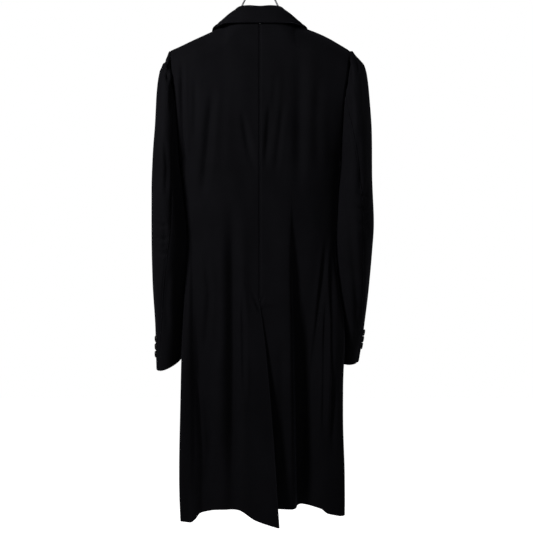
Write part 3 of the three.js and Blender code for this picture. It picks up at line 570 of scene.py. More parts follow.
# Creases of each face: half width, height (a trough's is negative), and the line's (x, z) points.
CREASES = {
    "back": [
        (6, -1.7, (-42, -384), (-24, -470), (-5, -552)),
        (5, -1.8, (23, -360), (16, -450), (11, -528)),
        (6, -1.0, (37, -290), (30, -390), (24, -470)),
        (6, -1.7, (54, -360), (44, -450), (35, -540)),
        (8, -3.2, (-104, -330), (-116, -440), (-132, -600)),
        (9, -1.1, (-78, -300), (-83, -420), (-88, -560)),
        (6, -1.6, (-146, -300), (-145, -380), (-148, -470)),
        (12, -9.0, (-64, -560), (-61, -760), (-59, -980), (-62, -1290)),
        (7, -3.6, (-125, -700), (-114, -806), (-125, -950)),
        (5, -4.2, (-40, -780), (-38, -900), (-34, -1050)),
        (5, -3.4, (-152, -960), (-140, -1080), (-129, -1200)),
        (5, -4.2, (-176, -262), (-175, -389), (-170, -560)),
        (11, -1.6, (91, -230), (88, -380), (90, -560)),
        (15, -7.0, (106, -780), (102, -980), (100, -1290)),
        (5, -4.4, (154, -660), (137, -806), (120, -960), (114, -1060)),
        (5, -4.8, (161, -680), (164, -862), (165, -1190)),
        (5, -3.8, (150, -790), (146, -950), (142, -1150)),
        (9, -1.6, (132, -300), (128, -420), (133, -540)),
        (3, -2.2, (-18, -800), (-8, -826), (1, -848)),
        (2.5, -1.6, (-11, -812), (-2, -836), (5, -852)),
        (2.5, -1.6, (9, -806), (3, -824), (-2, -836)),
        (3, -0.8, (-44, -203), (0, -207), (50, -204)),
        (3, -0.6, (-30, -216), (6, -219), (44, -215)),
        (10, -4.6, (-134, -1020), (-116, -1120), (-120, -1250)),
        (10, 3.0, (-92, -900), (-96, -1040), (-90, -1200)),
        (9, -2.2, (48, -880), (50, -1060), (56, -1240)),
    ],
    "front": [
        (8, -3.3, (-60, -300), (-72, -400), (-74, -520)),
        (8, -3.1, (66, -310), (74, -410), (72, -530)),
        (5.8, -2.9, (-30, -480), (-46, -560), (-58, -680)),
        (5.8, -2.6, (28, -482), (44, -570), (52, -700)),
        (9.2, -2.9, (-118, -420), (-112, -520), (-120, -640)),
        (9.2, -3.1, (122, -400), (114, -520), (124, -630)),
        (5.8, -2.4, (-20, -610), (-34, -680), (-38, -800)),
        (6.9, -2.9, (18, -730), (34, -820), (38, -960)),
        (8, -4.2, (-72, -820), (-80, -1000), (-76, -1200)),
        (8, -4.0, (70, -840), (76, -1010), (80, -1220)),
        (6.9, -4.0, (-128, -860), (-134, -1040), (-130, -1230)),
        (6.9, -3.7, (126, -880), (130, -1060), (136, -1220)),
        (13.8, -3.5, (0, -960), (4, -1100), (-2, -1250)),
    ],
    "sleeve back left": [
        (3.5, -2.6, (-222, -268), (-208, -284), (-200, -300)),
        (4, -3.0, (-226, -286), (-213, -300), (-204, -330)),
        (3.2, -2.7, (-199, -262), (-206, -290), (-207, -330)),
        (2.7, -2.2, (-207, -260), (-216, -284), (-219, -312)),
        (3.7, -2.9, (-193, -300), (-199, -340), (-199, -400)),
        (5.2, -1.8, (-214, -300), (-224, -330), (-222, -380)),
        (5.2, -2.9, (-216, -440), (-208, -520), (-211, -600)),
        (7.4, -2.2, (-232, -400), (-228, -500), (-232, -600)),
        (4.2, -2.7, (-238, -640), (-220, -652), (-203, -648)),
        (4.2, -3.1, (-240, -668), (-222, -682), (-200, -676)),
        (4.2, -2.5, (-234, -704), (-218, -716), (-200, -706)),
        (4.7, -2.3, (-224, -620), (-212, -660), (-214, -720)),
        (6.3, -3.2, (-206, -740), (-212, -830), (-208, -900)),
        (7.4, 2.5, (-232, -760), (-230, -850), (-224, -930)),
    ],
    "sleeve back right": [
        (6, -2.6, (198, -470), (190, -560), (196, -640)),
        (5, -2.4, (214, -830), (222, -880), (218, -930)),
        (3.2, -2.5, (196, -262), (206, -292), (208, -340)),
        (2.7, -2.0, (208, -256), (220, -280), (225, -312)),
        (4.2, -2.7, (196, -310), (206, -370), (210, -450)),
        (6.3, -1.8, (232, -300), (238, -350), (236, -420)),
        (5.8, -2.5, (218, -430), (226, -520), (222, -600)),
        (4.2, -2.7, (214, -572), (232, -584), (254, -578)),
        (4.2, -3.1, (216, -604), (234, -616), (255, -606)),
        (4.2, -2.3, (220, -640), (236, -650), (252, -644)),
        (5.2, -2.2, (240, -540), (236, -610), (243, -690)),
        (8, -5.0, (196, -600), (212, -760), (226, -880)),
        (7.4, 2.3, (238, -720), (234, -820), (226, -900)),
    ],
    "sleeve front left": [
        (3.7, -2.1, (-206, -270), (-214, -310), (-212, -370)),
        (5.2, -2.2, (-200, -420), (-212, -520), (-210, -600)),
        (4.2, -2.6, (-240, -610), (-220, -624), (-196, -616)),
        (4.7, -3.2, (-242, -646), (-222, -660), (-196, -654)),
        (4.2, -2.6, (-238, -690), (-220, -700), (-198, -690)),
        (7.4, -2.6, (-230, -740), (-222, -830), (-216, -920)),
    ],
    "sleeve front right": [
        (3.7, -2.1, (206, -268), (218, -312), (218, -380)),
        (5.2, -2.2, (204, -430), (218, -530), (220, -610)),
        (4.2, -2.7, (206, -600), (230, -614), (254, -604)),
        (4.7, -3.2, (204, -640), (228, -656), (252, -646)),
        (4.2, -2.4, (206, -688), (226, -700), (248, -690)),
        (7.4, -2.4, (236, -740), (226, -830), (216, -910)),
    ],
}
# A step falls steeply at its line and comes back slowly on the other side.
STEPS = {
    "back": [
        (8, -7.0, (-158, -620), (-156, -800), (-152, -1045), (-150, -1290)),
        (8, -6.5, (73, -560), (76, -817), (79, -1085), (83, -1300)),
    ],
}
CREASE_TAPER = 0.28
STEP_STEEP = 0.34
STEP_SLOW = 3
BANK_HEIGHT = 0.35
BANK_AT = 1.9

# A slow unevenness: waves with lengths across and down, and the seed and strength of each face
UNEVEN = 0.7
UNEVEN_WAVES = 14
UNEVEN_ACROSS = (35, 110)
UNEVEN_DOWN = (160, 520)
UNEVEN_CALM = 3
UNEVEN_SEED = {"back": 3, "front": 5, "sleeve": 8}
UNEVEN_SHARE = {"back": 1, "front": 0.8, "sleeve": 0.6}
NECK_FADE = {"back": 60, "front": 80}
HEAD_FADE = 30

# Seams sink in, less so on the shoulder by the sleeve's head
SEAM_SINK = 2.0
SEAM_WIDTH = 2.4
SEAM_END = 12
TIP_FLATNESS = 0.85
TIP_FLAT_BELOW = 36
TIP_FLAT_OVER = 30
VENT_FADE = 6

# The sleeve's head stands up a little behind its seam, and its inside is full between two heights
HEAD_ROPE = 0.7
ROPE_AT = 9
ROPE_WIDTH = 6
ROPE_FADE = 60
INSIDE_FULLNESS = {-1: 2.8, 1: 3.0}
INSIDE_SPREAD = 0.55
INSIDE_TOP_Z = UNDERARM_Z - 10
INSIDE_TOP_FADE = 60
INSIDE_LOW_Z = -860
INSIDE_LOW_FADE = 80

# How fast the creases of a face fade out round the side
BODY_FACING = 3
SLEEVE_FACING = 2.5


def trough_shape(t):
    """A trough across its line, t half widths away, with a low bank on each side."""
    return np.exp(-(t**2)) - BANK_HEIGHT * np.exp(-((np.abs(t) - BANK_AT) ** 2))


def step_shape(t):
    """A step down at its line, which rises again slowly on the other side."""
    return np.exp(-((t / np.where(t < 0, STEP_STEEP, STEP_SLOW)) ** 2))


def crease_height(name, x, z):
    """Sum of the fine creases of one face at points x, z."""
    height = np.zeros_like(x)
    creases = [(trough_shape, *row) for row in CREASES[name]]
    creases += [(step_shape, *row) for row in STEPS.get(name, [])]
    for form, width, tall, *line in creases:
        ends = np.array(line, float)
        lengths = np.linalg.norm(np.diff(ends, axis=0), axis=1)
        starts = np.concatenate([[0], np.cumsum(lengths)])
        best = np.full(x.shape, np.inf)
        along = np.zeros(x.shape)
        signed = np.zeros(x.shape)
        for (ax, az), (bx, bz), length, start in zip(ends[:-1], ends[1:], lengths, starts):
            ux, uz = (bx - ax) / length, (bz - az) / length
            t = clamp((x - ax) * ux + (z - az) * uz, 0, length)
            dx, dz = x - ax - t * ux, z - az - t * uz
            away = np.hypot(dx, dz)
            near = away < best
            best = np.where(near, away, best)
            along = np.where(near, start + t, along)
            signed = np.where(near, np.where(dx * uz - dz * ux < 0, away, -away), signed)
        share = along / starts[-1]
        taper = smooth(share / CREASE_TAPER) * smooth((1 - share) / CREASE_TAPER)
        height += tall * taper * form(signed / width)
    return height


def unevenness(x, z, face, side=0):
    """A slow, slight unevenness that runs mostly down the cloth."""
    random = np.random.default_rng(UNEVEN_SEED[face] + side)
    height = np.zeros_like(x)
    for _ in range(UNEVEN_WAVES):
        across = random.uniform(*UNEVEN_ACROSS)
        down = random.uniform(*UNEVEN_DOWN)
        phase, sign = random.uniform(0, 2 * math.pi), random.choice([-1, 1])
        wave = np.sin(2 * math.pi * (x / across + sign * z / down) + phase)
        height += wave * across / UNEVEN_ACROSS[1]
    return UNEVEN * height / UNEVEN_CALM * UNEVEN_SHARE[face]


def edge_distance(points):
    """Distance along each row from its first and from its last column."""
    steps = np.linalg.norm(np.diff(points, axis=1), axis=2)
    run = np.concatenate([np.zeros((len(points), 1)), np.cumsum(steps, axis=1)], axis=1)
    return run, run[:, -1:] - run


def flat_at_tip(z):
    """Share of the seam's sink that is left on the shoulder, above the sleeve's head."""
    return 1 - TIP_FLATNESS * smooth((z - TIP_Z + TIP_FLAT_BELOW) / TIP_FLAT_OVER)


def seam_sink(distance):
    return -SEAM_SINK * np.exp(-((distance / SEAM_WIDTH) ** 2))


def grid_normals(points, outward):
    """Unit normals of a grid of points, on the side that outward points to."""
    across = np.gradient(points, axis=1)
    down = np.gradient(points, axis=0)
    normal = np.cross(across, -down)
    normal /= np.maximum(np.linalg.norm(normal, axis=2, keepdims=True), 1e-9)
    return normal * np.sign(np.sum(normal * outward, axis=(0, 1, 2)) or 1)


# Meshes

RIM_COLUMNS = 3
SEWN_ROUNDING = 0.7
FREE_ROUNDING = 0.3


def new_mesh(name, vertices, faces, material):
    data = bpy.data.meshes.new(name)
    data.from_pydata(np.asarray(vertices, float) * MM, [], faces)
    data.update()
    data.polygons.foreach_set("use_smooth", [True] * len(data.polygons))
    data.materials.append(material)
    made = bpy.data.objects.new(name, data)
    bpy.context.scene.collection.objects.link(made)
    return made


def lay_cloth_coordinates(made, points, loop):
    """Cloth coordinates in metres: along each row from its middle, and down the middle column."""
    columns = points.shape[1]
    middle = columns // 2
    run, _ = edge_distance(points)
    drop = np.linalg.norm(np.diff(points[:, middle], axis=0), axis=1)
    u = (run - run[:, middle : middle + 1]).ravel()
    v = np.repeat(-np.concatenate([[0], np.cumsum(drop)]), columns)
    uv = np.stack([u, v], axis=1) * MM
    uv = np.concatenate([uv, uv, uv[loop]])
    layer = made.data.uv_layers.new(name="cloth")
    corner = np.zeros(len(made.data.loops), np.int32)
    made.data.loops.foreach_get("vertex_index", corner)
    layer.data.foreach_set("uv", uv[corner].astype(np.float32).ravel())


def shell(name, points, outward, material, thickness=CLOTH, sewn=False):
    """A thin closed cloth over a grid of outer points, its rim rounded.

    Where its two long edges are sewn, their rims stay square so that they meet the next piece's.
    """
    rows, columns = points.shape[:2]
    normal = grid_normals(points, outward)
    if sewn:
        normal[:, :RIM_COLUMNS] = normal[:, RIM_COLUMNS, None]
        normal[:, -RIM_COLUMNS:] = normal[:, -RIM_COLUMNS - 1, None]
    count = rows * columns
    at = np.arange(count).reshape(rows, columns)
    outer = points.reshape(-1, 3)
    inner = (points - normal * thickness).reshape(-1, 3)

    # the rim: a ring of vertices round the border, between the two faces and a little outside
    loop = np.concatenate([at[0, :-1], at[:-1, -1], at[-1, :0:-1], at[:0:-1, 0]])
    step_in = np.concatenate([at[1, :-1], at[:-1, -2], at[-2, :0:-1], at[:0:-1, 1]])
    away = outer[loop] - outer[step_in]
    away /= np.maximum(np.linalg.norm(away, axis=1, keepdims=True), 1e-9)
    rounding = np.full((len(loop), 1), thickness * FREE_ROUNDING)
    if sewn:
        rounding[(loop % columns == 0) | (loop % columns == columns - 1)] = SEWN_ROUNDING
    ring = (outer[loop] + inner[loop]) / 2 + away * rounding

    a, b = at[:-1, :-1].ravel(), at[1:, :-1].ravel()
    c, d = at[1:, 1:].ravel(), at[:-1, 1:].ravel()
    front = np.stack([a, b, c, d], axis=1)
    facing = np.cross(outer[b] - outer[a], outer[d] - outer[a])
    turned = np.sum(facing * normal.reshape(-1, 3)[a]) < 0
    if turned:
        front = front[:, ::-1]
    ids = np.arange(len(loop))
    following = np.roll(ids, -1)
    ring_ids = 2 * count + ids
    upper = np.stack([loop, loop[following], ring_ids[following], ring_ids], axis=1)
    lower = np.stack([ring_ids, ring_ids[following], loop[following] + count, loop + count], axis=1)
    if not turned:
        upper, lower = upper[:, ::-1], lower[:, ::-1]
    faces = np.concatenate([front, front[:, ::-1] + count, upper, lower])
    made = new_mesh(name, np.concatenate([outer, inner, ring]), faces.tolist(), material)
    lay_cloth_coordinates(made, points, loop)
    return made


# Materials


def new_material(name):
    made = bpy.data.materials.new(name)
    made.use_nodes = True
    return made, made.node_tree, made.node_tree.nodes["Principled BSDF"]


def put(shader, **values):
    """Sets the shader's sockets: Base_Color becomes Base Color."""
    for name, value in values.items():
        shader.inputs[name.replace("_", " ")].default_value = value


def object_place(tree):
    return tree.nodes.new("ShaderNodeTexCoord").outputs["Object"]


def texture(tree, kind, vector, **values):
    """A noise or wave texture on the coordinates given."""
    made = tree.nodes.new(f"ShaderNodeTex{kind}")
    put(made, **values)
    tree.links.new(vector, made.inputs["Vector"])
    return made


def multiply_add(tree, value, factor, added):
    made = tree.nodes.new("ShaderNodeMath")
    made.operation = "MULTIPLY_ADD"
    made.inputs[1].default_value = factor
    tree.links.new(value, made.inputs[0])
    tree.links.new(added, made.inputs[2])
    return made.outputs[0]


def remap(tree, value, **limits):
    made = tree.nodes.new("ShaderNodeMapRange")
    put(made, **limits)
    tree.links.new(value, made.inputs["Value"])
    return made.outputs["Result"]


def ramp(tree, value, *stops):
    """Two colours blended between their positions."""
    made = tree.nodes.new("ShaderNodeValToRGB")
    for element, (position, colour) in zip(made.color_ramp.elements, stops):
        element.position, element.color = position, (*colour, 1)
    tree.links.new(value, made.inputs["Fac"])
    return made.outputs["Color"]


def emboss(tree, shader, height, strength, depth):
    """Fine relief of a depth in millimetres."""
    bump = tree.nodes.new("ShaderNodeBump")
    put(bump, Strength=strength, Distance=depth * MM)
    tree.links.new(height, bump.inputs["Height"])
    tree.links.new(bump.outputs["Normal"], shader.inputs["Normal"])


WEAVE_MM = 0.9
RIBS_A_WEAVE = 0.31
WOOL_DARK = (0.0041, 0.0040, 0.0051, 1)
WOOL_LIGHT = (0.0078, 0.0076, 0.0098, 1)


def wool_material():
    """Fine smooth wool twill: diagonal ribs, fibre mottling and a faint cool sheen."""
    made, tree, shader = new_material("wool")
    put(shader, Roughness=0.88, Specular_IOR_Level=0.13, Sheen_Weight=0.03, Sheen_Roughness=0.42)
    put(shader, Specular_Tint=(0.93, 0.92, 1, 1), Sheen_Tint=(0.72, 0.72, 0.95, 1))
    cloth = tree.nodes.new("ShaderNodeUVMap")
    cloth.uv_map = "cloth"
    along = cloth.outputs["UV"]
    rib_scale = RIBS_A_WEAVE / (WEAVE_MM * MM)
    ribs = texture(tree, "Wave", along, Scale=rib_scale, Distortion=1.2, Detail=1, Detail_Scale=2)
    ribs.wave_type, ribs.bands_direction = "BANDS", "DIAGONAL"
    fibre = texture(tree, "Noise", along, Scale=1400, Detail=3).outputs["Fac"]
    cloud = texture(tree, "Noise", object_place(tree), Scale=9, Detail=4, Roughness=0.6).outputs["Fac"]
    tone = remap(tree, multiply_add(tree, fibre, 0.55, cloud), From_Min=0.45, From_Max=1.1)
    colour = tree.nodes.new("ShaderNodeMix")
    colour.data_type = "RGBA"
    colour.inputs[6].default_value = WOOL_DARK
    colour.inputs[7].default_value = WOOL_LIGHT
    tree.links.new(tone, colour.inputs["Factor"])
    tree.links.new(colour.outputs[2], shader.inputs["Base Color"])
    emboss(tree, shader, multiply_add(tree, fibre, 0.7, ribs.outputs["Fac"]), 0.35, 0.12)
    return made


def button_material():
    """Polished dark horn-like resin, a little cloudy, finely scratched."""
    made, tree, shader = new_material("button")
    put(shader, Specular_IOR_Level=0.45, Coat_Weight=0.25, Coat_Roughness=0.18)
    cloud = texture(tree, "Noise", object_place(tree), Scale=160, Detail=4, Distortion=1.4)
    colour = ramp(
        tree, cloud.outputs["Fac"], (0.35, (0.004, 0.004, 0.004)), (0.75, (0.014, 0.012, 0.011))
    )
    tree.links.new(colour, shader.inputs["Base Color"])
    scratch = texture(tree, "Noise", object_place(tree), Scale=900, Detail=2)
    rough = remap(tree, scratch.outputs["Fac"], To_Min=0.24, To_Max=0.46)
    tree.links.new(rough, shader.inputs["Roughness"])
    return made


def thread_material():
    """Black twisted sewing thread."""
    made, tree, shader = new_material("thread")
    put(shader, Base_Color=(0.008, 0.008, 0.010, 1), Roughness=0.6, Specular_IOR_Level=0.3)
    twist = texture(tree, "Wave", object_place(tree), Scale=900, Distortion=0.4)
    emboss(tree, shader, twist.outputs["Fac"], 0.5, 0.05)
    return made


def steel_material():
    """Bright drawn wire with fine wear."""
    made, tree, shader = new_material("steel")
    put(shader, Metallic=1.0)
    wear = texture(tree, "Noise", object_place(tree), Scale=420, Detail=5).outputs["Fac"]
    tree.links.new(remap(tree, wear, To_Min=0.18, To_Max=0.42), shader.inputs["Roughness"])
    colour = ramp(tree, wear, (0, (0.28, 0.28, 0.30)), (1, (0.52, 0.52, 0.54)))
    tree.links.new(colour, shader.inputs["Base Color"])
    return made


WOOL = wool_material()
BUTTON = button_material()
THREAD = thread_material()
STEEL = steel_material()

# Cloth pieces

BODY_COLUMNS = 144
SHOULDER_ROWS = 26
BODY_ROWS = 226


def body_levels(top_z):
    """Heights of a body panel's rows, from its top past the shoulder's tip to the hem."""
    below = np.linspace(TIP_Z, HEM_Z, BODY_ROWS)[1:]
    return np.concatenate([np.linspace(top_z, TIP_Z, SHOULDER_ROWS), below])


def seams(points, rows, inner_seam):
    """Sinks of a panel's inner and outer seams; the inner one ends at the height inner_seam."""
    first, last = edge_distance(points)
    held = smooth((rows[:, None] - inner_seam) / SEAM_END + 0.5)
    return held * seam_sink(first) + flat_at_tip(rows[:, None]) * seam_sink(last)


def back_panel(side, name):
    rows = body_levels(NECK_Z)
    lift = back_lift(side)
    lap = 0 if side < 0 else UNDERLAP * smooth((VENT_TOP_Z - TUCK_DROP - rows) / LAP_DROP)
    start = angle_at("back", vent_edge(rows) - lap, rows)
    angles = even_angles(start, outer_angle(rows, side, "back"), rows, BODY_COLUMNS, lift)
    z = rows[:, None] + 0 * angles
    plain = body_point(angles, z, lift(angles, z))
    x = plain[..., 0]
    facing = smooth(BODY_FACING * np.cos(angles))
    covered = 1 - smooth((VENT_TOP_Z - z) / VENT_FADE) * (x < vent_edge(z)) if side > 0 else 1
    fine = crease_height("back", x, z) * facing * covered
    fine = fine + unevenness(x, z, "back") * smooth((NECK_Z - z) / NECK_FADE["back"]) * facing
    fine = fine + seams(plain, rows, VENT_TOP_Z)
    points = body_point(angles, z, lift(angles, z) + fine)
    points = hang(points, BACK_HEM if side < 0 else BACK_HEM_RIGHT)
    return shell(name, points, points * (1, 1, 0), WOOL, sewn=True)


def front_panel(side, name):
    rows = body_levels(FRONT_TOP_Z)
    lift = front_lift(side)
    start = angle_at("front", front_edge(rows, side), rows)
    start = np.where(side * start < 0, start + side * 2 * math.pi, start)
    angles = even_angles(start, outer_angle(rows, side, "front"), rows, BODY_COLUMNS, lift)
    z = rows[:, None] + 0 * angles
    plain = body_point(angles, z, lift(angles, z))
    x = plain[..., 0]
    facing = smooth(-BODY_FACING * np.cos(angles))
    fine = crease_height("front", x, z) * facing
    fine = fine + unevenness(x, z, "front") * smooth((FRONT_TOP_Z - z) / NECK_FADE["front"]) * facing
    _, last = edge_distance(plain)
    fine = fine + seam_sink(last)
    points = hang(body_point(angles, z, lift(angles, z) + fine), FRONT_HEM)
    return shell(name, points, points * (1, 1, 0), WOOL, sewn=True)


def sleeve_outward(points, z, side):
    _, _, middle, forward, _ = sleeve_section(z, side)
    return points - np.stack([side * middle, forward, points[..., 2]], axis=-1)


def dress_sleeve(plain, turn, z, side, seam):
    """Adds creases, seam and head to a sleeve piece's plain points."""
    outward = sleeve_outward(plain, z, side)
    normal = grid_normals(plain, outward)
    word = "left" if side < 0 else "right"
    behind = smooth(SLEEVE_FACING * np.sin(turn))
    before = smooth(-SLEEVE_FACING * np.sin(turn))
    x = plain[..., 0]
    fine = crease_height(f"sleeve back {word}", x, z) * behind
    fine += crease_height(f"sleeve front {word}", x, z) * before
    fine += unevenness(x, z, "sleeve", side)
    fine *= smooth((TIP_Z - z) / HEAD_FADE)
    return plain + normal * (fine + seam)[..., None], outward


TOPSLEEVE_COLUMNS = 65
CAP_ROWS = 36
CAP_CROWDING = 1.6
TOPSLEEVE_ROWS = 140
UNDERSLEEVE_COLUMNS = 41
UNDERSLEEVE_ROWS = 150


def topsleeve(side, name):
    rows = np.concatenate([
        lerp(CAP_TOP_Z, SEAM_JOIN_Z, np.linspace(0, 1, CAP_ROWS) ** CAP_CROWDING),
        np.linspace(SEAM_JOIN_Z, CUFF_Z, TOPSLEEVE_ROWS)[1:],
    ])
    low = rows <= SEAM_JOIN_Z
    opening = sleeve_section(rows, side)[4]
    start = np.where(low, seam_edge(rows, side, "hind", 1), opening)
    end = 2 * math.pi - np.where(low, seam_edge(rows, side, "fore", 1), opening)
    share = np.linspace(0, 1, TOPSLEEVE_COLUMNS)
    turn = lerp(start[:, None], end[:, None], share)
    z = rows[:, None] + 0 * turn
    plain = sleeve_point(turn, z, side)
    first, last = edge_distance(plain)
    nearest = np.minimum(first, last)
    head = smooth((z - SEAM_JOIN_Z + ROPE_FADE) / ROPE_FADE)
    rope = HEAD_ROPE * head * np.exp(-(((nearest - ROPE_AT) / ROPE_WIDTH) ** 2))
    points, outward = dress_sleeve(plain, turn, z, side, seam_sink(nearest) * flat_at_tip(z) + rope)
    return shell(name, points, outward, WOOL, sewn=True)


def undersleeve(side, name):
    share = np.linspace(1, -1, UNDERSLEEVE_COLUMNS)
    down = np.linspace(0, 1, UNDERSLEEVE_ROWS)
    hind = share > 0
    top_hind, top_fore = (armhole_top(np.abs(share), side, which) for which in ("hind", "fore"))
    z = lerp(np.where(hind, top_hind, top_fore)[None, :], CUFF_Z, down[:, None])
    turn = share * np.where(hind, seam_edge(z, side, "hind", -1), seam_edge(z, side, "fore", -1))
    plain = sleeve_point(turn, z, side)
    first, last = edge_distance(plain)
    inside = INSIDE_FULLNESS[side] * np.exp(-((turn / INSIDE_SPREAD) ** 2))
    inside = inside * smooth((INSIDE_TOP_Z - z) / INSIDE_TOP_FADE)
    inside = inside * smooth((z - INSIDE_LOW_Z) / INSIDE_LOW_FADE)
    points, outward = dress_sleeve(plain, turn, z, side, seam_sink(np.minimum(first, last)) + inside)
    return shell(name, points, outward, WOOL, sewn=True)


FALL_COLUMNS = 170
FALL_ROWS = 26
ROLL = 2.4
ROLL_TURN = (180, 20)
ROLL_ROWS = 8
COLLAR_GROOVE = 1.5
COLLAR_GROOVE_SHARE = 0.72
COLLAR_GROOVE_WIDTH = 0.07
FALL_WAVE = 0.5
FALL_WAVE_LENGTH = 17
FALL_SWELL = 0.7
FALL_SWELL_X = -38
FALL_SWELL_WIDTH = 12


def collar_fall(name):
    fold = around_neck(COLLAR_FOLD, FALL_COLUMNS)
    edge = around_neck(COLLAR_EDGE, FALL_COLUMNS)
    inward = -fold * (1, 1, 0)
    inward /= np.linalg.norm(inward, axis=1, keepdims=True)
    over = [
        fold + inward * ROLL * (1 - math.cos(turn)) + np.array((0, 0, ROLL * math.sin(turn)))
        for turn in np.radians(np.linspace(*ROLL_TURN, ROLL_ROWS))
    ]
    lean = np.concatenate([edge[:, :2], np.full((FALL_COLUMNS, 1), FALL_LEAN)], axis=1)
    out = lean / np.linalg.norm(lean, axis=1, keepdims=True)
    rows = []
    for share in np.linspace(0, 1, FALL_ROWS):
        swell = FALL_BULGE * math.sin(math.pi * share)
        beside = (share - COLLAR_GROOVE_SHARE) / COLLAR_GROOVE_WIDTH
        groove = COLLAR_GROOVE * math.exp(-(beside**2))
        line = lerp(fold, edge, share) + out * (swell - groove)
        rows.append(clear_of_body(line, FALL_CLEARANCE))
    points = np.array(over + rows)
    x = points[..., 0]
    share = np.linspace(0, 1, len(points))[:, None]
    wave = FALL_WAVE * np.sin(x / FALL_WAVE_LENGTH + 1) * share
    wave = wave + FALL_SWELL * np.exp(-(((x - FALL_SWELL_X) / FALL_SWELL_WIDTH) ** 2)) * share
    outward = lean + 0 * points
    points = points + grid_normals(points, outward) * wave[..., None]
    return shell(name, points, outward, WOOL)


STAND_COLUMNS = 120
STAND_ROWS = 12
STAND_SAMPLES = 400


def collar_stand(name):
    fold = around_neck(COLLAR_FOLD, STAND_SAMPLES)
    seam = around_neck(COLLAR_SEAM, STAND_SAMPLES)
    pick = np.linspace(STAND_END, 1 - STAND_END, STAND_COLUMNS) * (STAND_SAMPLES - 1)

    def sample(line):
        return np.stack([np.interp(pick, np.arange(STAND_SAMPLES), line[:, k]) for k in range(3)], axis=1)

    top, bottom = sample(fold), sample(seam)
    inward = -top * (1, 1, 0)
    inward /= np.linalg.norm(inward, axis=1, keepdims=True)
    top = top + inward * STAND_INSET - np.array((0, 0, WALL))
    points = np.array([lerp(top, bottom, share) for share in np.linspace(0, 1, STAND_ROWS)])
    return shell(name, points, points * (1, 1, 0), WOOL, STAND_WALL)


LAPEL_CURL = 4.6
LAPEL_TURN = (-90, 82)
LAPEL_TURN_COLUMNS = 9
LAPEL_COLUMNS = 34
LAPEL_ROWS = 70


def lapel(side, name):
    """A lapel that curls over the roll line and lies on the front to its cut edge."""
    lift = front_lift(side)
    up = np.linspace(LAPEL_START if side < 0 else LAPEL_START_UNDER, 1, LAPEL_ROWS)[:, None]
    roll_z = lerp(BREAK_Z, GORGE_Z, up)
    roll_x = front_edge(roll_z, side)
    edge_x = side * read(LAPEL, "share", "x", up)
    edge_z = read(LAPEL, "share", "z", up)
    share = np.linspace(0, 1, LAPEL_COLUMNS)[None, :]
    out_flat = WALL + 2 * LAYER_GAP + LAPEL_ROLL * (1 - share) ** 2 * up
    x_flat, z_flat = lerp(roll_x, edge_x, share), lerp(roll_z, edge_z, share)
    turn = np.linspace(*LAPEL_TURN, LAPEL_TURN_COLUMNS)[None, :]
    out_edge = WALL + 2 * LAYER_GAP + LAPEL_ROLL * up
    radius = (out_edge + LAPEL_CURL) / 2
    x_curl = roll_x - side * radius * np.cos(np.radians(turn))
    out_curl = (out_edge - LAPEL_CURL) / 2 + radius * np.sin(np.radians(turn))
    x = np.concatenate([x_curl, x_flat], axis=1)
    z = np.concatenate([roll_z + 0 * turn, z_flat], axis=1)
    out = np.concatenate([out_curl, out_flat], axis=1)
    angles = angle_at("front", x, z)
    angles = np.where(side * angles < 0, angles + side * 2 * math.pi, angles)
    points = body_point(angles, z, out + lift(angles, z))
    outward = np.broadcast_to(np.array((0.0, 1.0, 0.0)), points.shape)
    return shell(name, points, outward, WOOL)


# Buttons


# Thread and holes: shares of the button's radius, or millimetres
BUTTON_SIDES = 48
BUTTON_DISH = 0.8
PLATE_SHARE = 0.63
PLATE_SIDES = 40
HOLE_REACH_SHARE = 0.19
HOLE_SHARE = 0.085
HOLE_SIDES = 12
STRAND = 0.32
STRAND_APART = 0.3
STRAND_SUNK = 0.9
STRAND_RISE = 1.5
STRAND_START = 0.05
STRAND_POINTS = 12
STRAND_SIDES = 8
SHANK_SHARE = 0.24
SHANK_BELOW = 0.6

# How far the rings of a tube's rounded ends stand out, and how wide they are, in radii
TUBE_TIP = ((0.95, 0.3), (0.7, 0.72), (0.3, 0.96))


def circle(radius, count, centre=(0, 0)):
    turn = np.linspace(0, 2 * math.pi, count, endpoint=False)
    return np.stack([centre[0] + radius * np.cos(turn), centre[1] + radius * np.sin(turn)], axis=1)


def ring_faces(rings, count):
    """Faces between rings of count vertices each."""
    faces = []
    for i in range(rings - 1):
        for j in range(count):
            a, b = i * count + j, i * count + (j + 1) % count
            faces.append((a, b, b + count, a + count))
    return faces


def lathe(profile, count):
    """Vertices and faces of a profile of (radius, height) turned round the axis."""
    turn = np.linspace(0, 2 * math.pi, count, endpoint=False)
    vertices = [(r * math.cos(t), r * math.sin(t), h) for r, h in profile for t in turn]
    return vertices, ring_faces(len(profile), count)


def plate(radius, holes, hole_radius, low, high):
    """Vertices and faces of a round plate with real holes."""
    curve = bpy.data.curves.new("plate", "CURVE")
    curve.dimensions, curve.fill_mode, curve.extrude = "2D", "BOTH", (high - low) / 2
    rings = [circle(radius, PLATE_SIDES)]
    rings += [circle(hole_radius, HOLE_SIDES, centre) for centre in holes]
    for ring in rings:
        spline = curve.splines.new("POLY")
        spline.points.add(len(ring) - 1)
        for point, (x, y) in zip(spline.points, ring):
            point.co = (x, y, 0, 1)
        spline.use_cyclic_u = True
    holder = bpy.data.objects.new("plate", curve)
    data = bpy.data.meshes.new_from_object(holder)
    vertices = [(v.co.x, v.co.y, v.co.z + (low + high) / 2) for v in data.vertices]
    faces = [tuple(p.vertices) for p in data.polygons]
    bpy.data.objects.remove(holder)
    bpy.data.curves.remove(curve)
    bpy.data.meshes.remove(data)
    return vertices, faces


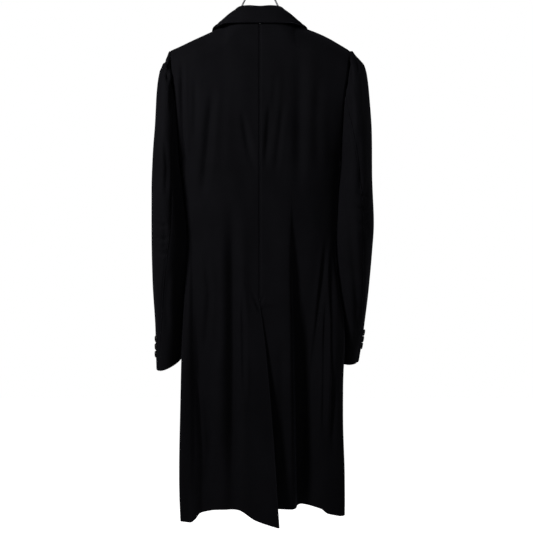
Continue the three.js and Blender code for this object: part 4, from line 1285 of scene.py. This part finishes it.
def tube_mesh(line, radius, count=12):
    """Vertices and faces of a round tube along a line, with rounded ends."""
    line = np.asarray(line, float)
    tangent = np.gradient(line, axis=0)
    tangent /= np.linalg.norm(tangent, axis=1, keepdims=True)
    side = np.cross(tangent[0], (0, 0, 1.0) if abs(tangent[0][2]) < 0.9 else (1.0, 0, 0))
    side /= np.linalg.norm(side)
    sides = []
    for direction in tangent:
        side = side - direction * np.dot(side, direction)
        side /= np.linalg.norm(side)
        sides.append(side)
    sides = np.array(sides)[:, None]
    up = np.cross(tangent[:, None], sides)
    turn = np.linspace(0, 2 * math.pi, count, endpoint=False)[None, :, None]
    round_line = sides * np.cos(turn) + up * np.sin(turn)

    def tip(at, along, wide):
        return line[at] + tangent[at] * along * radius + radius * wide * round_line[at]

    rings = [tip(0, -along, wide) for along, wide in TUBE_TIP]
    rings.extend(line[:, None] + radius * round_line)
    rings.extend(tip(-1, along, wide) for along, wide in reversed(TUBE_TIP))
    last = (len(rings) - 1) * count
    faces = ring_faces(len(rings), count)
    faces.append(tuple(range(count))[::-1])
    faces.append(tuple(range(last, last + count)))
    return np.concatenate(rings), faces


def joined(parts):
    vertices, faces = [], []
    for points, sides in parts:
        base = len(vertices)
        vertices.extend(map(tuple, points))
        faces.extend(tuple(base + i for i in face) for face in sides)
    return vertices, faces


def axes_to(normal):
    """Rotation whose third column is the normal."""
    normal = normal / np.linalg.norm(normal)
    across = np.cross((0, 0, 1.0), normal)
    across /= np.linalg.norm(across)
    return np.stack([across, np.cross(normal, across), normal], axis=1)


def placed(vertices, point, normal):
    return np.asarray(vertices, float) @ axes_to(normal).T + point


def make_button(name, size, point, normal):
    """A four-hole button with a raised rim and its thread, in the place of the node of that name."""
    radius, thick = size["radius"], size["thick"]
    dish = BUTTON_DISH
    rim = [
        (0.01, 0), (0.86 * radius, 0), (0.96 * radius, 0.2 * thick), (radius, 0.5 * thick),
        (0.97 * radius, 0.8 * thick), (0.9 * radius, 0.97 * thick), (0.82 * radius, thick),
        (0.74 * radius, 0.95 * thick), (0.67 * radius, thick - 0.7 * dish), (0.62 * radius, thick - dish),
        (0.61 * radius, thick - 1.8 * dish),
    ]
    reach = HOLE_REACH_SHARE * radius
    holes = [(sx * reach, sy * reach) for sx in (-1, 1) for sy in (-1, 1)]
    base = plate(PLATE_SHARE * radius, holes, HOLE_SHARE * radius, thick - 2 * dish, thick - dish)
    vertices, faces = joined([lathe(rim, BUTTON_SIDES), base])
    seat = point + normal * size["seat"]
    disc = new_mesh(f"{name}_disc", placed(vertices, seat, normal), faces, BUTTON)
    disc.data.polygons.foreach_set("use_smooth", [len(p.vertices) == 4 for p in disc.data.polygons])
    strand_z = thick - dish - STRAND_SUNK
    strands = []
    for sx in (-1, 1):
        for offset in (-STRAND_APART, STRAND_APART):
            arc = [
                (sx * reach + offset, reach * math.cos(t), strand_z + STRAND_RISE * math.sin(t))
                for t in np.linspace(STRAND_START, math.pi - STRAND_START, STRAND_POINTS)
            ]
            strands.append(tube_mesh(arc, STRAND, STRAND_SIDES))
    shank = [(0, 0, -size["seat"] - SHANK_BELOW), (0, 0, thick - 2 * dish)]
    strands.append(tube_mesh(shank, SHANK_SHARE * radius))
    vertices, faces = joined(strands)
    thread = new_mesh(f"{name}_thread", placed(vertices, seat, normal), faces, THREAD)
    for piece in (disc, thread):
        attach(piece, "root")
    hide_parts(name)


NORMAL_STEP_TURN = 0.03
NORMAL_STEP_Z = 4


def point_and_normal(point_at, u, v, hand):
    du = point_at(u + NORMAL_STEP_TURN, v) - point_at(u - NORMAL_STEP_TURN, v)
    dv = point_at(u, v + NORMAL_STEP_Z) - point_at(u, v - NORMAL_STEP_Z)
    normal = np.cross(du, dv) * hand
    return point_at(u, v), normal / np.linalg.norm(normal)


def front_button_place(i):
    z = np.float64(BREAK_Z - FIRST_BUTTON_DROP - FRONT_BUTTON["pitch"] * i)
    angle = angle_at("front", BUTTON_X, z)
    return point_and_normal(lambda u, v: body_point(u, np.float64(v), LAP_LIFT), angle, z, 1)


def cuff_button_place(side, i):
    z = np.float64(CUFF_Z + CUFF_BUTTON_LOWEST + CUFF_BUTTON["pitch"] * i)
    turn = seam_turn(z, side, "hind") + math.radians(CUFF_BUTTON_TURN)
    return point_and_normal(lambda u, v: sleeve_point(u, np.float64(v), side), turn, z, side)


# Hanger


# The stems of the arms twist round the hook's
TWIST_TURNS = 2
TWIST_POINTS = 17
TWIST_GAP = 0.1
TWIST_TOP_Z = HOOK_BASE_Z + 8
TWIST_LOW_Z = APEX_Z - 1
HOOK_POINTS = 13
HOOK_LOW_Z = APEX_Z - 6
WIRE_SIDES = 16

# An arm's bend at its tip: how far in from the tip, and the share of the drop to the bar
ARM_BEND = ((-2, 0.33), (0, 0.75), (14, 1))
HOOK_STEPS, ARM_STEPS, BAR_STEPS = 160, 320, 24


def under_shoulder(x):
    return float(ridge_height(-x)) - WALL - SEAM_GAP - WIRE - ARM_SAG


def wire(name, line, node):
    vertices, faces = tube_mesh(line, WIRE, WIRE_SIDES)
    made = new_mesh(name, vertices, faces, STEEL)
    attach(made, "root")
    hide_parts(node)


def hanger():
    turn = np.radians(np.linspace(HOOK_START, HOOK_END, HOOK_POINTS))
    hook = [(-HOOK_RADIUS * math.cos(t), 0, HOOK_RADIUS * math.sin(t) - HOOK_RADIUS + WIRE) for t in turn]
    hook = hook[:-2] + [(3, 0, -44), (0, 0, HOOK_BASE_Z), (0, 0, HOOK_LOW_Z)]
    wire("hanger_hook_wire", catmull(hook, HOOK_STEPS), "hanger_hook")
    tip = under_shoulder(ARM_TIP_X)
    low = tip - BAR_DROP
    strand = 2 * WIRE + TWIST_GAP
    turns = np.linspace(-2 * math.pi * TWIST_TURNS, 0, TWIST_POINTS)
    heights = lerp(TWIST_TOP_Z, TWIST_LOW_Z, np.linspace(0, 1, TWIST_POINTS))
    for side, word in ((-1, "left"), (1, "right")):
        route = [(strand * math.cos(t), side * strand * math.sin(t), z) for t, z in zip(turns, heights)]
        route += [(x, 0, z) for x, z in ARM_ROUTE]
        route += [(x, 0, under_shoulder(x)) for x in ARM_REACH]
        route += [(ARM_TIP_X - 5, 0, tip + 2)]
        route += [(ARM_TIP_X - inward, 0, lerp(tip, low, share)) for inward, share in ARM_BEND]
        route += [(BAR_HALF, 0, low)]
        arm = catmull(np.array(route) * (side, 1, 1), ARM_STEPS)
        wire(f"hanger_arm_{word}_wire", arm, f"hanger_arm_{word}")
    bar = [(-BAR_HALF + SEAM_GAP, 0, low), (0, 0, low), (BAR_HALF - SEAM_GAP, 0, low)]
    wire("hanger_bar_wire", catmull(bar, BAR_STEPS), "hanger_bar")


# The coat, put together


def cloth_piece(node, made):
    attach(made, "root")
    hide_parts(node)


for side, word in ((-1, "left"), (1, "right")):
    cloth_piece(f"back_{word}", back_panel(side, f"back_{word}_cloth"))
    cloth_piece(f"front_{word}", front_panel(side, f"front_{word}_cloth"))
    cloth_piece(f"topsleeve_{word}", topsleeve(side, f"topsleeve_{word}_cloth"))
    cloth_piece(f"undersleeve_{word}", undersleeve(side, f"undersleeve_{word}_cloth"))
    cloth_piece(f"lapel_{word}", lapel(side, f"lapel_{word}_cloth"))
cloth_piece("collar_stand", collar_stand("collar_stand_cloth"))
cloth_piece("collar_fall", collar_fall("collar_fall_cloth"))

for i in range(FRONT_BUTTON["count"]):
    make_button(f"front_button_{i + 1}", FRONT_BUTTON, *front_button_place(i))
for side, word in ((-1, "left"), (1, "right")):
    for i in range(CUFF_BUTTON["count"]):
        make_button(f"cuff_button_{word}_{i + 1}", CUFF_BUTTON, *cuff_button_place(side, i))
hanger()

# Stage, light and camera

FLOOR_Z = -1.75
FLOOR_HALF = 6.0

# Softboxes: place, the point each faces, width and height, and watts
LIGHTS = {
    "key": ((-1.0, -0.95, 0.12), (0, 0, -0.42), (0.35, 0.4), 10.5),
    "fill": ((0.3, -1.4, 0.1), (0, 0, -0.4), (0.4, 0.4), 1.4),
    "front": ((0.1, 2.6, 0.2), (0, 0, -0.5), (0.35, 0.35), 24),
    "side": ((2.5, 0.5, 0.2), (0.2, 0, -0.5), (0.5, 0.5), 5),
}
ROOM_COLOUR = (0.93, 0.94, 1, 1)
ROOM_STRENGTH = 0.02


def stage():
    """A pale floor that the camera sees as pure white."""
    pale, tree, shader = new_material("pale_floor")
    put(shader, Base_Color=(0.9, 0.9, 0.9, 1), Roughness=0.9, Specular_IOR_Level=0.2)
    put(shader, Emission_Color=(1, 1, 1, 1))
    seen = tree.nodes.new("ShaderNodeLightPath")
    tree.links.new(seen.outputs["Is Camera Ray"], shader.inputs["Emission Strength"])
    corners = [(-1, -1), (1, -1), (1, 1), (-1, 1)]
    data = bpy.data.meshes.new("floor")
    data.from_pydata([(x * FLOOR_HALF, y * FLOOR_HALF, FLOOR_Z) for x, y in corners], [], [(0, 1, 2, 3)])
    data.materials.append(pale)
    floor = bpy.data.objects.new("floor", data)
    bpy.context.scene.collection.objects.link(floor)


def softbox(name, place, aim, size, watts):
    light = bpy.data.lights.new(name, "AREA")
    light.shape, light.energy = "RECTANGLE", watts
    light.size, light.size_y = size
    made = bpy.data.objects.new(name, light)
    bpy.context.scene.collection.objects.link(made)
    made.location = place
    direction = np.array(aim, float) - np.array(place, float)
    made.rotation_mode = "QUATERNION"
    made.rotation_quaternion = Vector(direction).to_track_quat("-Z", "Y")


def studio():
    """A dim cool room with four softboxes, white where the camera sees past the coat."""
    world = bpy.data.worlds.new("studio")
    bpy.context.scene.world = world
    world.use_nodes = True
    nodes, links = world.node_tree.nodes, world.node_tree.links
    nodes.clear()
    out = nodes.new("ShaderNodeOutputWorld")
    white = nodes.new("ShaderNodeBackground")
    put(white, Color=(1, 1, 1, 1), Strength=1.0)
    room = nodes.new("ShaderNodeBackground")
    put(room, Color=ROOM_COLOUR, Strength=ROOM_STRENGTH)
    seen = nodes.new("ShaderNodeLightPath")
    either = nodes.new("ShaderNodeMixShader")
    links.new(seen.outputs["Is Camera Ray"], either.inputs[0])
    links.new(room.outputs[0], either.inputs[1])
    links.new(white.outputs[0], either.inputs[2])
    links.new(either.outputs[0], out.inputs["Surface"])
    for name, row in LIGHTS.items():
        softbox(name, *row)


CAMERA_PLACE = (0.015, -2.6, -0.74195)
PHOTO_WIDTH = 1.2259
SENSOR = 36.0


def camera():
    lens = bpy.data.cameras.new("camera")
    lens.sensor_width = SENSOR
    lens.lens = SENSOR * -CAMERA_PLACE[1] / PHOTO_WIDTH
    made = bpy.data.objects.new("camera", lens)
    bpy.context.scene.collection.objects.link(made)
    made.location = CAMERA_PLACE
    made.rotation_euler = (math.pi / 2, 0, 0)
    bpy.context.scene.camera = made


stage()
studio()
camera()
bpy.context.scene.view_settings.view_transform = "Standard"
